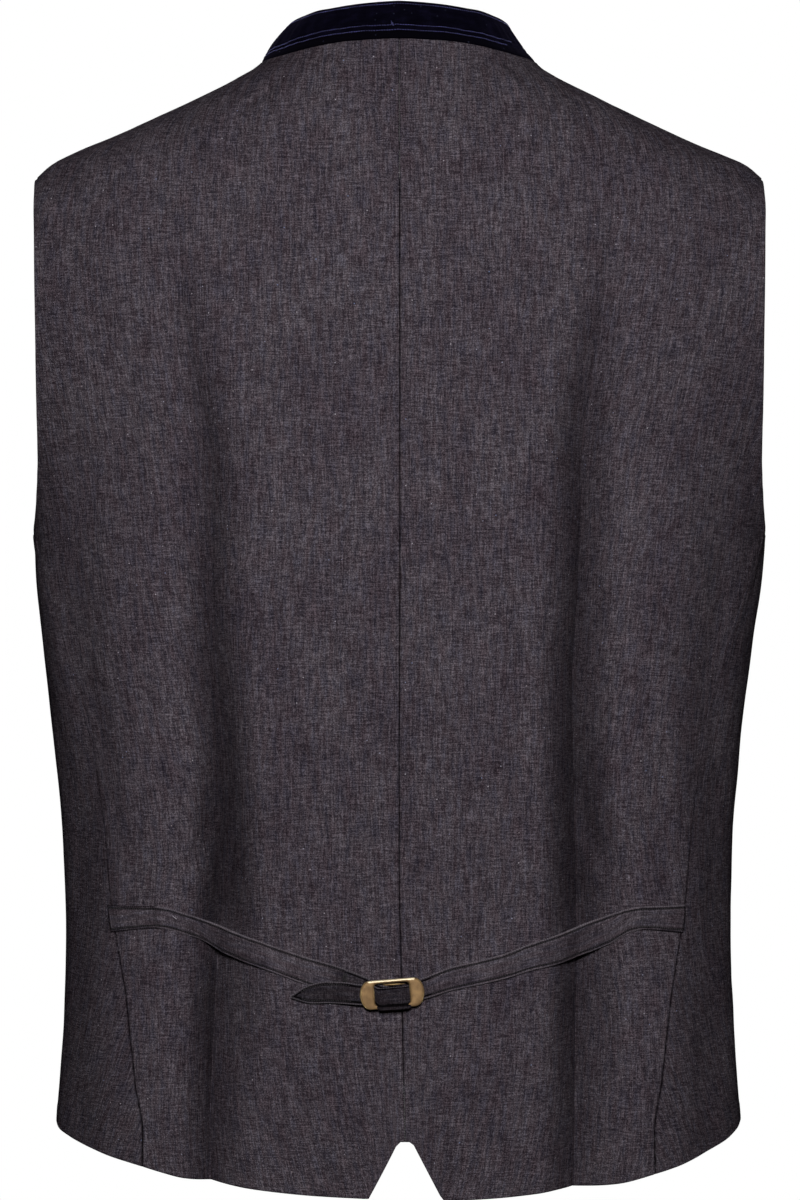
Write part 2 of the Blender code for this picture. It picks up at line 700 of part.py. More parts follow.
def add_tooth_bar(material, collection):
    """A bent wire: its middle lies in the fold of the left strap, and its ends reach the frame's bars."""
    local_x = BAR_X - BUCKLE_CENTRE_X
    leg = (WINDOW_WIDTH + FRAME_WIDTH) / 4
    length = FRAME_STRAIGHT + 2 * FRAME_END_REACH
    share = (local_x + length / 2) / length
    frame_lift = mix(FRAME_LIFT_LEFT, FRAME_LIFT_RIGHT, share)
    depth = BAR_LIFT - frame_lift
    top = -FRAME_WALL / 2 - LAYER_GAP
    bend = BAR_RADIUS * 1.2
    angles = np.linspace(0, math.pi / 2, 4)
    turn = [(leg - bend + bend * math.sin(a), depth + bend - bend * math.cos(a)) for a in angles]
    half = [(local_x, y, z) for y, z in turn] + [(local_x, leg, top)]
    points = [(x, -y, z) for x, y, z in reversed(half)] + half
    curve = bpy.data.curves.new("buckle_tooth_bar", "CURVE")
    curve.dimensions = "3D"
    curve.bevel_depth = BAR_RADIUS
    curve.bevel_resolution = 2
    curve.use_fill_caps = True
    add_spline(curve, points, False)
    bar = add_object("buckle_tooth_bar", curve, material, collection)
    bar.matrix_world = buckle_matrix()


def add_button(number, height, material, collection):
    bpy.ops.mesh.primitive_cylinder_add(vertices=18, radius=BUTTON_RADIUS, depth=BUTTON_WALL)
    button = bpy.context.object
    button.name = f"button_{number}"
    button.data.name = button.name
    button.data.materials.append(material)
    rim = button.modifiers.new("rim", "BEVEL")
    rim.width = 0.0008
    rim.segments = 1
    for holder in list(button.users_collection):
        holder.objects.unlink(button)
    collection.objects.link(button)
    step = 0.01
    upward = (cloth_point(1, 2.0, height + step) - cloth_point(1, 2.0, height - step)).normalized()
    out = upward.cross(Vector((-1, 0, 0))).normalized()
    if out.y < 0:
        out = -out
    middle = cloth_point(1, 2.0, height) + out * (LAYER_GAP * 2 + BUTTON_WALL / 2)
    button.matrix_world = Matrix.Translation(middle) @ out.to_track_quat("Z", "Y").to_matrix().to_4x4()


def build_waistcoat():
    for leftover in list(bpy.data.objects):
        bpy.data.objects.remove(leftover)
    collection = bpy.data.collections.new("waistcoat")
    bpy.context.scene.collection.children.link(collection)
    for side, word in ((-1, "left"), (1, "right")):
        cloth = (0.055, 0.046, 0.056)
        add_back(side, f"back_{word}", plain_material(f"melange_cloth_back_{word}", cloth, 0.9), collection)
        add_front(side, f"front_{word}", plain_material(f"melange_cloth_front_{word}", cloth, 0.9), collection)
    add_collar(plain_material("navy_velvet", (0.012, 0.013, 0.020), 0.8), collection)
    strap_rgb = (0.050, 0.042, 0.052)
    add_strap("strap_left", LEFT_BELT, left_path(), plain_material("belt_cloth_left", strap_rgb, 0.9), collection)
    add_strap("strap_right", RIGHT_BELT, right_path(), plain_material("belt_cloth_right", strap_rgb, 0.9), collection)
    brass_rgb = (0.39, 0.25, 0.10)
    add_buckle_frame(plain_material("antique_brass_frame", brass_rgb, 0.35, 1.0), collection)
    add_tooth_bar(plain_material("antique_brass_bar", brass_rgb, 0.35, 1.0), collection)
    for number, height in enumerate(np.linspace(TOP_BUTTON_HEIGHT, LOW_BUTTON_HEIGHT, BUTTON_COUNT), 1):
        horn = plain_material(f"horn_{number}", (0.035, 0.022, 0.014), 0.35)
        add_button(number, float(height), horn, collection)


build_waistcoat()
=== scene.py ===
"""Dresses the waistcoat: wool melange panels, velvet stand collar, buckled back belt, horn buttons.

Metres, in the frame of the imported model. The wearer faces +Y, so the back with its belt faces -Y, and
the wearer's right side is at +X. A place on the body form is a turn and a height: turn 0 is the centre
back, 1 the side and the top of the shoulder, 2 the centre front, in equal lengths of cloth.
"""

import math
from collections import namedtuple

import bmesh
import bpy
import numpy as np
from mathutils import Matrix, Vector

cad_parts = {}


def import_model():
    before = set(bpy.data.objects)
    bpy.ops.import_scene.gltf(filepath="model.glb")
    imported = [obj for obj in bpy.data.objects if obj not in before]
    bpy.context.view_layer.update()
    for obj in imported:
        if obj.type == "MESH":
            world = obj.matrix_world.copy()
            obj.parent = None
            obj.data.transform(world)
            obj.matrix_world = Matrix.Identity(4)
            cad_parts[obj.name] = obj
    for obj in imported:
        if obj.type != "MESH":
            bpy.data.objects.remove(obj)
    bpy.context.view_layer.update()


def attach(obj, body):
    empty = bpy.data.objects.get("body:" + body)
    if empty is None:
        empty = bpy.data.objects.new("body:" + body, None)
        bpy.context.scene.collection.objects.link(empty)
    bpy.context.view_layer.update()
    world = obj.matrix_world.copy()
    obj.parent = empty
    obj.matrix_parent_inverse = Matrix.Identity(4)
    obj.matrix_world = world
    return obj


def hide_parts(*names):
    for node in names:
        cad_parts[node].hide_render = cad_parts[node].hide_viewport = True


# Cloth and seams
CLOTH_WALL = 0.0016
SEAM_GAP = 0.00002
LAP_STEP = 0.0026
LAYER_GAP = 0.0003
BELT_GAP = 0.0007
STRAP_WALL = 0.0013

# Cut of the panels
UNDERARM_HEIGHT = -0.262
NECK_FRONT_HEIGHT = -0.057
SHOULDER_TIP_HEIGHT = -0.062
LAP = 0.018
ARMHOLE_CORNER_TURN = 1.20
ARMHOLE_CORNER_HEIGHT = -0.240
NOTCH_TOP = -0.5829
NOTCH_TOP_HALF_WIDTH = 0.0037
NOTCH_HALF_WIDTH = 0.0198
COLLAR_WIDTH = 0.0250
COLLAR_WALL = 0.0021
COLLAR_END_TURN = 1.985

# Buckle, seen from behind the wearer
BUCKLE_CENTRE_X = -0.0037
BUCKLE_HEIGHT = -0.5041
BUCKLE_TILT = math.radians(4.5)
FRAME_STRAIGHT = 0.0236
FRAME_WIDTH = 0.0154
FRAME_END_REACH = 0.0054
FRAME_WALL = 0.0013
WINDOW_LENGTH = 0.0186
WINDOW_WIDTH = 0.0116
FRAME_LIFT_LEFT = 0.00825
FRAME_LIFT_RIGHT = 0.0066
BAR_X = -0.0075
BAR_RADIUS = 0.0009
TACK_X = -0.0285

# Buttons
BUTTON_COUNT = 6
BUTTON_RADIUS = 0.010
BUTTON_WALL = 0.003
TOP_BUTTON_HEIGHT = -0.078
LOW_BUTTON_HEIGHT = -0.530

# The body form's level rings. The back is flatter beside the armholes, as if its ring were wider there
Ring = namedtuple("Ring", "height half_width back_half_width back front squareness")
RINGS = [
    Ring(-0.640, 0.1896, 0.1896, 0.1120, 0.1270, 2.35),
    Ring(-0.579, 0.1876, 0.1876, 0.1070, 0.1230, 2.35),
    Ring(-0.556, 0.1858, 0.1858, 0.1045, 0.1213, 2.34),
    Ring(-0.529, 0.1844, 0.1844, 0.1015, 0.1190, 2.32),
    Ring(-0.501, 0.1838, 0.1838, 0.0990, 0.1170, 2.30),
    Ring(-0.467, 0.1831, 0.1831, 0.0975, 0.1160, 2.30),
    Ring(-0.432, 0.1838, 0.1838, 0.0990, 0.1170, 2.32),
    Ring(-0.378, 0.1882, 0.1882, 0.1040, 0.1200, 2.35),
    Ring(-0.322, 0.1944, 0.1944, 0.1090, 0.1240, 2.40),
    Ring(-0.281, 0.1994, 0.1994, 0.1125, 0.1260, 2.42),
    Ring(-0.262, 0.2006, 0.2006, 0.1135, 0.1264, 2.44),
    Ring(-0.235, 0.2012, 0.2055, 0.1150, 0.1260, 2.45),
    Ring(-0.200, 0.2010, 0.2160, 0.1155, 0.1240, 2.45),
    Ring(-0.160, 0.2008, 0.2280, 0.1150, 0.1170, 2.43),
    Ring(-0.120, 0.2007, 0.2350, 0.1120, 0.1050, 2.38),
    Ring(-0.090, 0.2005, 0.2270, 0.1075, 0.0935, 2.32),
    Ring(-0.074, 0.1998, 0.2110, 0.1045, 0.0865, 2.28),
    Ring(-0.064, 0.1983, 0.1985, 0.1020, 0.0820, 2.25),
    Ring(-0.058, 0.1914, 0.1914, 0.1005, 0.0790, 2.25),
    Ring(-0.052, 0.1791, 0.1791, 0.0985, 0.0765, 2.22),
    Ring(-0.042, 0.1578, 0.1578, 0.0955, 0.0720, 2.20),
    Ring(-0.032, 0.1360, 0.1360, 0.0920, 0.0680, 2.15),
    Ring(-0.021, 0.1124, 0.1124, 0.0880, 0.0635, 2.10),
    Ring(-0.010, 0.0899, 0.0899, 0.0835, 0.0585, 2.05),
    Ring(-0.005, 0.0811, 0.0811, 0.0815, 0.0555, 2.00),
    Ring(+0.000, 0.0755, 0.0755, 0.0795, 0.0520, 2.00),
    Ring(+0.012, 0.0700, 0.0700, 0.0755, 0.0480, 2.00),
]

# The hem and the neckline, by turn. The hem hangs a little lower on the right
HemHeight = namedtuple("HemHeight", "turn left right")
HEM = [
    HemHeight(0.00, -0.6138, -0.6150),
    HemHeight(0.20, -0.6115, -0.6128),
    HemHeight(0.34, -0.6080, -0.6098),
    HemHeight(0.47, -0.6035, -0.6065),
    HemHeight(0.57, -0.5970, -0.6010),
    HemHeight(0.75, -0.5886, -0.5912),
    HemHeight(1.00, -0.5800, -0.5797),
    HemHeight(1.25, -0.5880, -0.5880),
    HemHeight(1.56, -0.6100, -0.6100),
    HemHeight(1.78, -0.6220, -0.6220),
    HemHeight(2.07, -0.5450, -0.5450),
]
# About the height at which the side seams reach the hem
SEAM_FOOT = HEM[4].left
EdgeHeight = namedtuple("EdgeHeight", "turn height")
NECKLINE = [
    EdgeHeight(0.00, +0.0066),
    EdgeHeight(0.25, +0.0056),
    EdgeHeight(0.38, +0.0042),
    EdgeHeight(0.51, +0.0024),
    EdgeHeight(0.66, +0.0007),
    EdgeHeight(1.00, -0.0002),
    EdgeHeight(1.25, -0.0032),
    EdgeHeight(1.50, -0.0135),
    EdgeHeight(1.75, -0.0385),
    EdgeHeight(1.90, -0.0535),
    EdgeHeight(2.00, NECK_FRONT_HEIGHT),
    EdgeHeight(2.12, -0.0580),
]

# Side edges of the panels. The side seam and the front's armhole go by how far they lie in front of the
# line of the shoulders, and the back's armhole by how far it lies from the centre plane
EdgeDepth = namedtuple("EdgeDepth", "height forward")
# The side seam sits this much further to the back than the part's own, below the chest
SEAM_SETBACK = 0.0055
SIDE_SEAM = [
    EdgeDepth(-0.640, -0.0810 - SEAM_SETBACK),
    EdgeDepth(-0.580, -0.0780 - SEAM_SETBACK),
    EdgeDepth(-0.553, -0.0730 - SEAM_SETBACK),
    EdgeDepth(-0.507, -0.0655 - SEAM_SETBACK),
    EdgeDepth(-0.457, -0.0590 - SEAM_SETBACK),
    EdgeDepth(-0.376, -0.0570 - SEAM_SETBACK),
    EdgeDepth(-0.310, -0.0530),
    EdgeDepth(-0.285, -0.0430),
    EdgeDepth(UNDERARM_HEIGHT, -0.0300),
    EdgeDepth(-0.255, -0.0260),
]
EdgeAside = namedtuple("EdgeAside", "height aside")
BACK_ARMHOLE_EDGE = [
    EdgeAside(UNDERARM_HEIGHT, 0.1992),
    EdgeAside(-0.2607, 0.1996),
    EdgeAside(-0.2560, 0.1996),
    EdgeAside(-0.250, 0.1988),
    EdgeAside(-0.238, 0.1973),
    EdgeAside(-0.213, 0.1960),
    EdgeAside(-0.185, 0.1962),
    EdgeAside(-0.155, 0.1963),
    EdgeAside(-0.125, 0.1967),
    EdgeAside(-0.100, 0.1972),
    EdgeAside(-0.083, 0.1979),
    EdgeAside(-0.072, 0.1983),
    EdgeAside(-0.066, 0.1987),
    EdgeAside(SHOULDER_TIP_HEIGHT, 0.1990),
]
FRONT_ARMHOLE_EDGE = [
    EdgeDepth(ARMHOLE_CORNER_HEIGHT, 0.0450),
    EdgeDepth(-0.225, 0.0520),
    EdgeDepth(-0.200, 0.0580),
    EdgeDepth(-0.165, 0.0600),
    EdgeDepth(-0.135, 0.0550),
    EdgeDepth(-0.108, 0.0430),
    EdgeDepth(-0.088, 0.0280),
    EdgeDepth(-0.075, 0.0140),
    EdgeDepth(-0.067, 0.0050),
    EdgeDepth(SHOULDER_TIP_HEIGHT, 0.0),
]
ARMHOLE_BOTTOM = [
    EdgeHeight(0.72, UNDERARM_HEIGHT - 0.0015),
    EdgeHeight(0.92, -0.2600),
    EdgeHeight(1.00, -0.2580),
    EdgeHeight(1.10, -0.2520),
    EdgeHeight(ARMHOLE_CORNER_TURN, ARMHOLE_CORNER_HEIGHT),
]

# The upright troughs that the belt draws into the back, each a V whose curved flanks reach inward and
# outward of its line, and the roll of cloth that swells beside it: side -1 is left
Trough = namedtuple("Trough", "height from_centre depth inward outward swell")
TROUGHS = {
    -1: [
        Trough(-0.640, 0.1015, 0.0150, 0.025, 0.019, 0.006),
        Trough(-0.581, 0.1012, 0.0230, 0.032, 0.018, 0.009),
        Trough(-0.515, 0.0992, 0.0345, 0.036, 0.018, 0.011),
        Trough(-0.486, 0.0975, 0.0265, 0.031, 0.018, 0.011),
        Trough(-0.455, 0.0948, 0.0400, 0.027, 0.018, 0.012),
        Trough(-0.400, 0.0925, 0.0330, 0.023, 0.018, 0.011),
        Trough(-0.350, 0.0955, 0.0280, 0.023, 0.019, 0.009),
        Trough(-0.284, 0.0995, 0.0210, 0.024, 0.021, 0.007),
        Trough(-0.218, 0.1010, 0.0170, 0.024, 0.021, 0.003),
        Trough(-0.152, 0.1140, 0.0090, 0.024, 0.021, 0.001),
        Trough(-0.080, 0.1200, 0.0000, 0.022, 0.020, 0.000),
    ],
    +1: [
        Trough(-0.640, 0.0930, 0.0160, 0.022, 0.027, 0.006),
        Trough(-0.581, 0.0945, 0.0240, 0.021, 0.034, 0.009),
        Trough(-0.515, 0.0955, 0.0320, 0.021, 0.036, 0.011),
        Trough(-0.486, 0.0960, 0.0250, 0.021, 0.034, 0.011),
        Trough(-0.455, 0.0965, 0.0380, 0.022, 0.031, 0.012),
        Trough(-0.400, 0.0955, 0.0370, 0.022, 0.026, 0.011),
        Trough(-0.350, 0.0945, 0.0330, 0.023, 0.026, 0.009),
        Trough(-0.284, 0.0970, 0.0290, 0.024, 0.026, 0.007),
        Trough(-0.218, 0.0975, 0.0250, 0.024, 0.026, 0.003),
        Trough(-0.152, 0.1065, 0.0140, 0.024, 0.025, 0.001),
        Trough(-0.070, 0.1150, 0.0000, 0.022, 0.022, 0.000),
    ],
}
TROUGH_ROUNDING = 0.0001
TROUGH_SHAPE = 2.2
Roll = namedtuple("Roll", "full starts ends")
ROLL = Roll(0.034, 0.044, 0.080)

# How the garment hangs to the right of true, at the centre back seam and round the rest of the ring
Sway = namedtuple("Sway", "height seam rest")
SWAY = [
    Sway(-0.640, 0.0040, -0.0003),
    Sway(-0.600, 0.0035, -0.0003),
    Sway(-0.560, 0.0026, -0.0005),
    Sway(-0.500, 0.0013, -0.0003),
    Sway(-0.440, 0.0000, -0.0010),
    Sway(-0.380, 0.0000, -0.0011),
    Sway(-0.325, 0.0002, -0.0015),
    Sway(-0.290, 0.0003, -0.0010),
    Sway(-0.245, 0.0003, +0.0003),
    Sway(-0.085, 0.0002, +0.0002),
    Sway(-0.061, 0.0001, -0.0004),
    Sway(-0.042, 0.0000, -0.0010),
    Sway(-0.023, 0.0000, -0.0013),
    Sway(-0.010, 0.0000, -0.0018),
    Sway(+0.002, 0.0000, -0.0002),
    Sway(+0.030, 0.0000, +0.0000),
]
SWAY_REACH = 0.085

# How far the collar leans in from upright, by turn
Lean = namedtuple("Lean", "turn degrees")
COLLAR_LEAN = [Lean(0.0, 30.0), Lean(1.0, 36.0), Lean(1.5, 28.0), Lean(2.0, 18.0)]
Stretch = namedtuple("Stretch", "turn share")
COLLAR_HEIGHT = [
    Stretch(0.00, 1.00),
    Stretch(0.25, 1.00),
    Stretch(0.38, 1.03),
    Stretch(0.51, 1.10),
    Stretch(0.66, 1.11),
    Stretch(1.00, 1.02),
    Stretch(1.50, 1.00),
    Stretch(2.00, 1.00),
]

# The belt's halves as they lie on the back: centre line, half height, and the lift of the middle of the
# strap's wall from the back
Belt = namedtuple("Belt", "across height half_height lift")
FLAT_LIFT = BELT_GAP + STRAP_WALL / 2
BAR_LIFT = BELT_GAP + STRAP_WALL + LAYER_GAP + BAR_RADIUS
# The halves end in the side seams and are sewn down as far as the tacks
LEFT_END = -0.149
RIGHT_END = 0.146
TACK_ACROSS = 0.125
LEFT_BELT = [
    Belt(LEFT_END, -0.4660, 0.0073, FLAT_LIFT),
    Belt(-TACK_ACROSS, -0.4645, 0.0060, FLAT_LIFT),
    Belt(-0.1100, -0.4690, 0.0060, FLAT_LIFT),
    Belt(-0.0940, -0.4770, 0.0075, FLAT_LIFT),
    Belt(-0.0700, -0.4855, 0.0073, FLAT_LIFT),
    Belt(-0.0480, -0.4930, 0.0076, FLAT_LIFT),
    Belt(-0.0290, -0.4980, 0.0070, FLAT_LIFT),
    Belt(-0.0186, -0.5012, 0.0062, FLAT_LIFT),
    Belt(BAR_X, -0.5044, 0.0044, FLAT_LIFT),
    Belt(0.0000, -0.5052, 0.0050, FLAT_LIFT),
]
RIGHT_BELT = [
    Belt(-0.0573, -0.5064, 0.0006, 0.0030),
    Belt(-0.0470, -0.5048, 0.0050, 0.0030),
    Belt(-0.0380, -0.5038, 0.0058, 0.0032),
    Belt(-0.0292, -0.5040, 0.0059, 0.0046),
    Belt(-0.0200, -0.5048, 0.0056, 0.0056),
    Belt(-0.0140, -0.5049, 0.0052, 0.0059),
    Belt(-0.0065, -0.5043, 0.0052, 0.0072),
    Belt(-0.0015, -0.5039, 0.0053, 0.0073),
    Belt(0.0058, -0.5033, 0.0053, 0.0048),
    Belt(0.0135, -0.5014, 0.0057, 0.0040),
    Belt(0.0265, -0.4970, 0.0062, 0.0019),
    Belt(0.0400, -0.4940, 0.0064, FLAT_LIFT),
    Belt(0.0550, -0.4905, 0.0066, FLAT_LIFT),
    Belt(0.0700, -0.4855, 0.0072, FLAT_LIFT),
    Belt(0.0850, -0.4815, 0.0080, FLAT_LIFT),
    Belt(0.1000, -0.4760, 0.0085, FLAT_LIFT),
    Belt(0.1100, -0.4715, 0.0082, FLAT_LIFT),
    Belt(0.1200, -0.4660, 0.0066, FLAT_LIFT),
    Belt(TACK_ACROSS, -0.4650, 0.0063, FLAT_LIFT),
    Belt(RIGHT_END, -0.4660, 0.0075, FLAT_LIFT),
]

# The lean of a cut across the belt, to the wearer's left of upright
CrossLean = namedtuple("CrossLean", "across degrees")
BELT_CROSS_LEAN = [
    CrossLean(-0.156, 7.8),
    CrossLean(-0.060, math.degrees(BUCKLE_TILT)),
    CrossLean(0.030, math.degrees(BUCKLE_TILT)),
    CrossLean(0.120, -2.0),
    CrossLean(0.156, -5.0),
]

# Soft creases, from foot to head, as heights and as distances from the centre plane on the
# back and from the front edge on the fronts. A ridge has a negative depth
Crease = namedtuple("Crease", "foot_aside foot_height head_aside head_height depth spread")
BACK_CREASES = {
    -1: [
        Crease(0.128, -0.452, 0.100, -0.395, 0.0016, 0.0055),
        Crease(0.145, -0.440, 0.120, -0.372, -0.0012, 0.008),
        Crease(0.070, -0.500, 0.094, -0.545, 0.0013, 0.007),
        Crease(0.118, -0.500, 0.106, -0.560, 0.0012, 0.006),
        Crease(0.050, -0.470, 0.064, -0.400, -0.0010, 0.012),
        Crease(0.020, -0.350, 0.030, -0.210, 0.0008, 0.016),
        Crease(0.150, -0.300, 0.128, -0.190, 0.0014, 0.011),
        Crease(0.176, -0.262, 0.150, -0.150, 0.0016, 0.010),
        Crease(0.090, -0.060, 0.140, -0.085, 0.0010, 0.010),
        Crease(0.020, -0.016, 0.070, -0.030, 0.0010, 0.006),
        Crease(0.060, -0.590, 0.056, -0.530, -0.0009, 0.010),
        Crease(0.150, -0.560, 0.142, -0.490, 0.0014, 0.009),
    ],
    +1: [
        Crease(0.122, -0.450, 0.096, -0.385, 0.0018, 0.0055),
        Crease(0.140, -0.442, 0.112, -0.360, -0.0013, 0.008),
        Crease(0.064, -0.500, 0.084, -0.552, 0.0014, 0.007),
        Crease(0.112, -0.492, 0.098, -0.548, 0.0012, 0.006),
        Crease(0.046, -0.462, 0.060, -0.380, -0.0010, 0.012),
        Crease(0.030, -0.300, 0.022, -0.150, 0.0007, 0.016),
        Crease(0.156, -0.310, 0.132, -0.180, 0.0016, 0.011),
        Crease(0.178, -0.258, 0.156, -0.130, 0.0014, 0.010),
        Crease(0.084, -0.056, 0.136, -0.090, 0.0011, 0.010),
        Crease(0.024, -0.014, 0.074, -0.034, 0.0011, 0.006),
        Crease(0.050, -0.592, 0.048, -0.520, -0.0009, 0.010),
        Crease(0.146, -0.556, 0.136, -0.486, 0.0015, 0.009),
    ],
}
FRONT_CREASES = {
    -1: [
        Crease(0.040, -0.440, 0.100, -0.400, 0.0020, 0.010),
        Crease(0.050, -0.480, 0.120, -0.466, 0.0016, 0.009),
        Crease(0.150, -0.560, 0.160, -0.430, 0.0024, 0.012),
        Crease(0.105, -0.300, 0.130, -0.215, 0.0020, 0.012),
        Crease(0.070, -0.180, 0.112, -0.130, 0.0014, 0.012),
        Crease(0.200, -0.520, 0.190, -0.380, 0.0020, 0.012),
        Crease(0.030, -0.350, 0.074, -0.320, 0.0012, 0.010),
    ],
    +1: [
        Crease(0.036, -0.430, 0.096, -0.384, 0.0018, 0.010),
        Crease(0.056, -0.476, 0.130, -0.470, 0.0018, 0.009),
        Crease(0.146, -0.566, 0.154, -0.420, 0.0022, 0.012),
        Crease(0.110, -0.306, 0.136, -0.220, 0.0022, 0.012),
        Crease(0.066, -0.170, 0.106, -0.122, 0.0014, 0.012),
        Crease(0.196, -0.530, 0.188, -0.390, 0.0022, 0.012),
        Crease(0.034, -0.366, 0.070, -0.330, 0.0012, 0.010),
    ],
}


def eased(at, table, row, column):
    """The named column of a table at values of its named row, on a smooth curve that never overshoots."""
    places = np.array([getattr(line, row) for line in table])
    values = np.array([getattr(line, column) for line in table])
    steps = np.diff(places)
    slopes = np.diff(values) / steps
    before, after = slopes[:-1], slopes[1:]
    same_way = before * after > 0
    inner = np.where(same_way, 2 * before * after / np.where(same_way, before + after, 1.0), 0.0)
    tangents = np.concatenate([slopes[:1], inner, slopes[-1:]])
    at = np.asarray(at, float)
    k = np.clip(np.searchsorted(places, at) - 1, 0, len(steps) - 1)
    s = np.clip((at - places[k]) / steps[k], 0.0, 1.0)
    from_left = (1 + 2 * s) * values[k] + s * steps[k] * tangents[k]
    from_right = (3 - 2 * s) * values[k + 1] + (s - 1) * steps[k] * tangents[k + 1]
    return (1 - s) ** 2 * from_left + s**2 * from_right


def mix(start, end, share):
    return start + (end - start) * share


def smooth_step(start, end, at):
    share = np.clip((at - start) / (end - start), 0.0, 1.0)
    return share * share * (3 - 2 * share)


def unit(vectors):
    return vectors / np.maximum(np.linalg.norm(vectors, axis=-1, keepdims=True), 1e-12)


def square_to(vectors, along):
    """The vectors' parts at right angles to unit ones, at unit length."""
    return unit(vectors - along * np.sum(vectors * along, axis=-1, keepdims=True))


def bell(off, spread):
    return np.exp(-((off / spread) ** 2))


def stacked(*parts):
    return np.stack(np.broadcast_arrays(*parts), axis=-1).astype(float)


# The form, looked up on a fine grid of heights and even lengths of cloth
FORM_STEP = 0.0005
FORM_HEIGHTS = np.arange(-0.648, 0.0145, FORM_STEP)
EVEN_SHARES = np.linspace(0.0, 1.0, 257)
Quarter = namedtuple("Quarter", "aside outward length")


def quarters(at_back):
    """Quarters of all rings: distances aside and outward at even lengths of cloth, and their lengths."""
    power = 2 / eased(FORM_HEIGHTS, RINGS, "height", "squareness")
    half_width = eased(FORM_HEIGHTS, RINGS, "height", "back_half_width" if at_back else "half_width")
    depth = eased(FORM_HEIGHTS, RINGS, "height", "back" if at_back else "front")
    angles = np.linspace(0.0, math.pi / 2, 513)
    aside = half_width[:, None] * np.sin(angles) ** power[:, None]
    outward = depth[:, None] * np.clip(np.cos(angles), 0.0, 1.0) ** power[:, None]
    steps = np.hypot(np.diff(aside), np.diff(outward))
    length = np.concatenate([np.zeros((len(steps), 1)), np.cumsum(steps, axis=1)], axis=1)
    even = [EVEN_SHARES * row[-1] for row in length]
    aside = np.array([np.interp(e, row, values) for e, row, values in zip(even, length, aside)])
    outward = np.array([np.interp(e, row, values) for e, row, values in zip(even, length, outward)])
    return Quarter(aside, outward, length[:, -1])


QUARTERS = {True: quarters(True), False: quarters(False)}


def looked_up(grid, share, height):
    """Reads a form grid between its heights and shares."""
    across = np.clip(share, 0.0, 1.0) * (len(EVEN_SHARES) - 1)
    up = np.clip((height - FORM_HEIGHTS[0]) / FORM_STEP, 0, len(FORM_HEIGHTS) - 1.001)
    i = np.minimum(up.astype(int), len(FORM_HEIGHTS) - 2)
    j = np.minimum(across.astype(int), len(EVEN_SHARES) - 2)
    s, t = across - j, up - i
    low = mix(grid[i, j], grid[i, j + 1], s)
    high = mix(grid[i + 1, j], grid[i + 1, j + 1], s)
    return mix(low, high, t)


def quarter_length(height, at_back):
    return np.interp(height, FORM_HEIGHTS, QUARTERS[at_back].length)


def ring(height, column):
    return eased(height, RINGS, "height", column)


def outward_at(at_back, x, y, height):
    """The level direction away from the form at points of its rings."""
    power = ring(height, "squareness") - 1
    wide = ring(height, "half_width")
    wide = np.where(at_back, ring(height, "back_half_width"), wide)
    deep = ring(height, "front")
    deep = np.where(at_back, ring(height, "back"), deep)
    out_x = np.sign(x) * (np.abs(x) / wide) ** power / wide
    out_y = np.where(at_back, -1, 1) * (np.abs(y) / deep) ** power / deep
    return unit(stacked(out_x, out_y, 0.0))


def form_point(turn, height):
    """Points of the body form on the wearer's right side, and their level outward directions."""
    turn, height = np.broadcast_arrays(np.asarray(turn, float), np.asarray(height, float))
    flip = np.where((turn < 0) | (turn > 2), -1.0, 1.0)
    turn = np.where(turn < 0, -turn, np.where(turn > 2, 4 - turn, turn))
    at_back = turn <= 1
    share = np.where(at_back, turn, 2 - turn)
    back, front = QUARTERS[True], QUARTERS[False]
    x = np.where(at_back, looked_up(back.aside, share, height), looked_up(front.aside, share, height))
    y = np.where(at_back, -looked_up(back.outward, share, height), looked_up(front.outward, share, height))
    out = outward_at(at_back, x, y, height)
    mirror = stacked(flip, np.ones_like(flip), np.ones_like(flip))
    return stacked(x, y, height) * mirror, out * mirror


def form_row(grid, height):
    up = min(max((height - FORM_HEIGHTS[0]) / FORM_STEP, 0), len(FORM_HEIGHTS) - 1.001)
    return mix(grid[int(up)], grid[int(up) + 1], up - int(up))


def turn_of_depth(height, forward):
    """The turn at which the form's side is this far in front of the line of the shoulders."""
    at_back = forward <= 0
    share = float(np.interp(-abs(forward), -form_row(QUARTERS[at_back].outward, height), EVEN_SHARES))
    return share if at_back else 2 - share


def turn_of_aside(height, aside):
    return float(np.interp(aside, form_row(QUARTERS[True].aside, height), EVEN_SHARES))


def turn_of_length(length, height, at_back):
    return length / quarter_length(height, at_back)


def sway(x, at_back, height):
    near_seam = np.where(at_back, np.maximum(0.0, 1 - (x / SWAY_REACH) ** 2), 0.0)
    return mix(eased(height, SWAY, "height", "rest"), eased(height, SWAY, "height", "seam"), near_seam)


def trough(side, height, column):
    return eased(height, TROUGHS[side], "height", column)


def trough_depth(side, x, height):
    """How far the trough of a side draws the cloth in, this far from the centre plane."""
    off = x - trough(side, height, "from_centre")
    reach = np.where(off < 0, trough(side, height, "inward"), trough(side, height, "outward"))
    away = np.clip(np.hypot(off, TROUGH_ROUNDING) / reach, 0.0, 1.0)
    return trough(side, height, "depth") * (1 - away) ** TROUGH_SHAPE


def roll_swell(side, x, height):
    """How far the roll of cloth outside the trough stands proud of the form."""
    off = x - trough(side, height, "from_centre")
    rise = smooth_step(0.0, ROLL.full, off) * (1 - smooth_step(ROLL.starts, ROLL.ends, off))
    return trough(side, height, "swell") * rise


def cloth_point(side, turn, height, inset=0.0):
    """Points of the outer face of a panel, with the troughs and the sway."""
    point, out = form_point(turn, height)
    x = point[..., 0]
    at_back = np.asarray(turn) < 1
    inset = inset - np.where(at_back, roll_swell(side, x, height), 0.0)
    point = point - out * np.asarray(inset)[..., None]
    point[..., 1] += np.where(at_back, trough_depth(side, x, height), 0.0)
    point[..., 0] = side * point[..., 0] + sway(x, at_back, height)
    return point


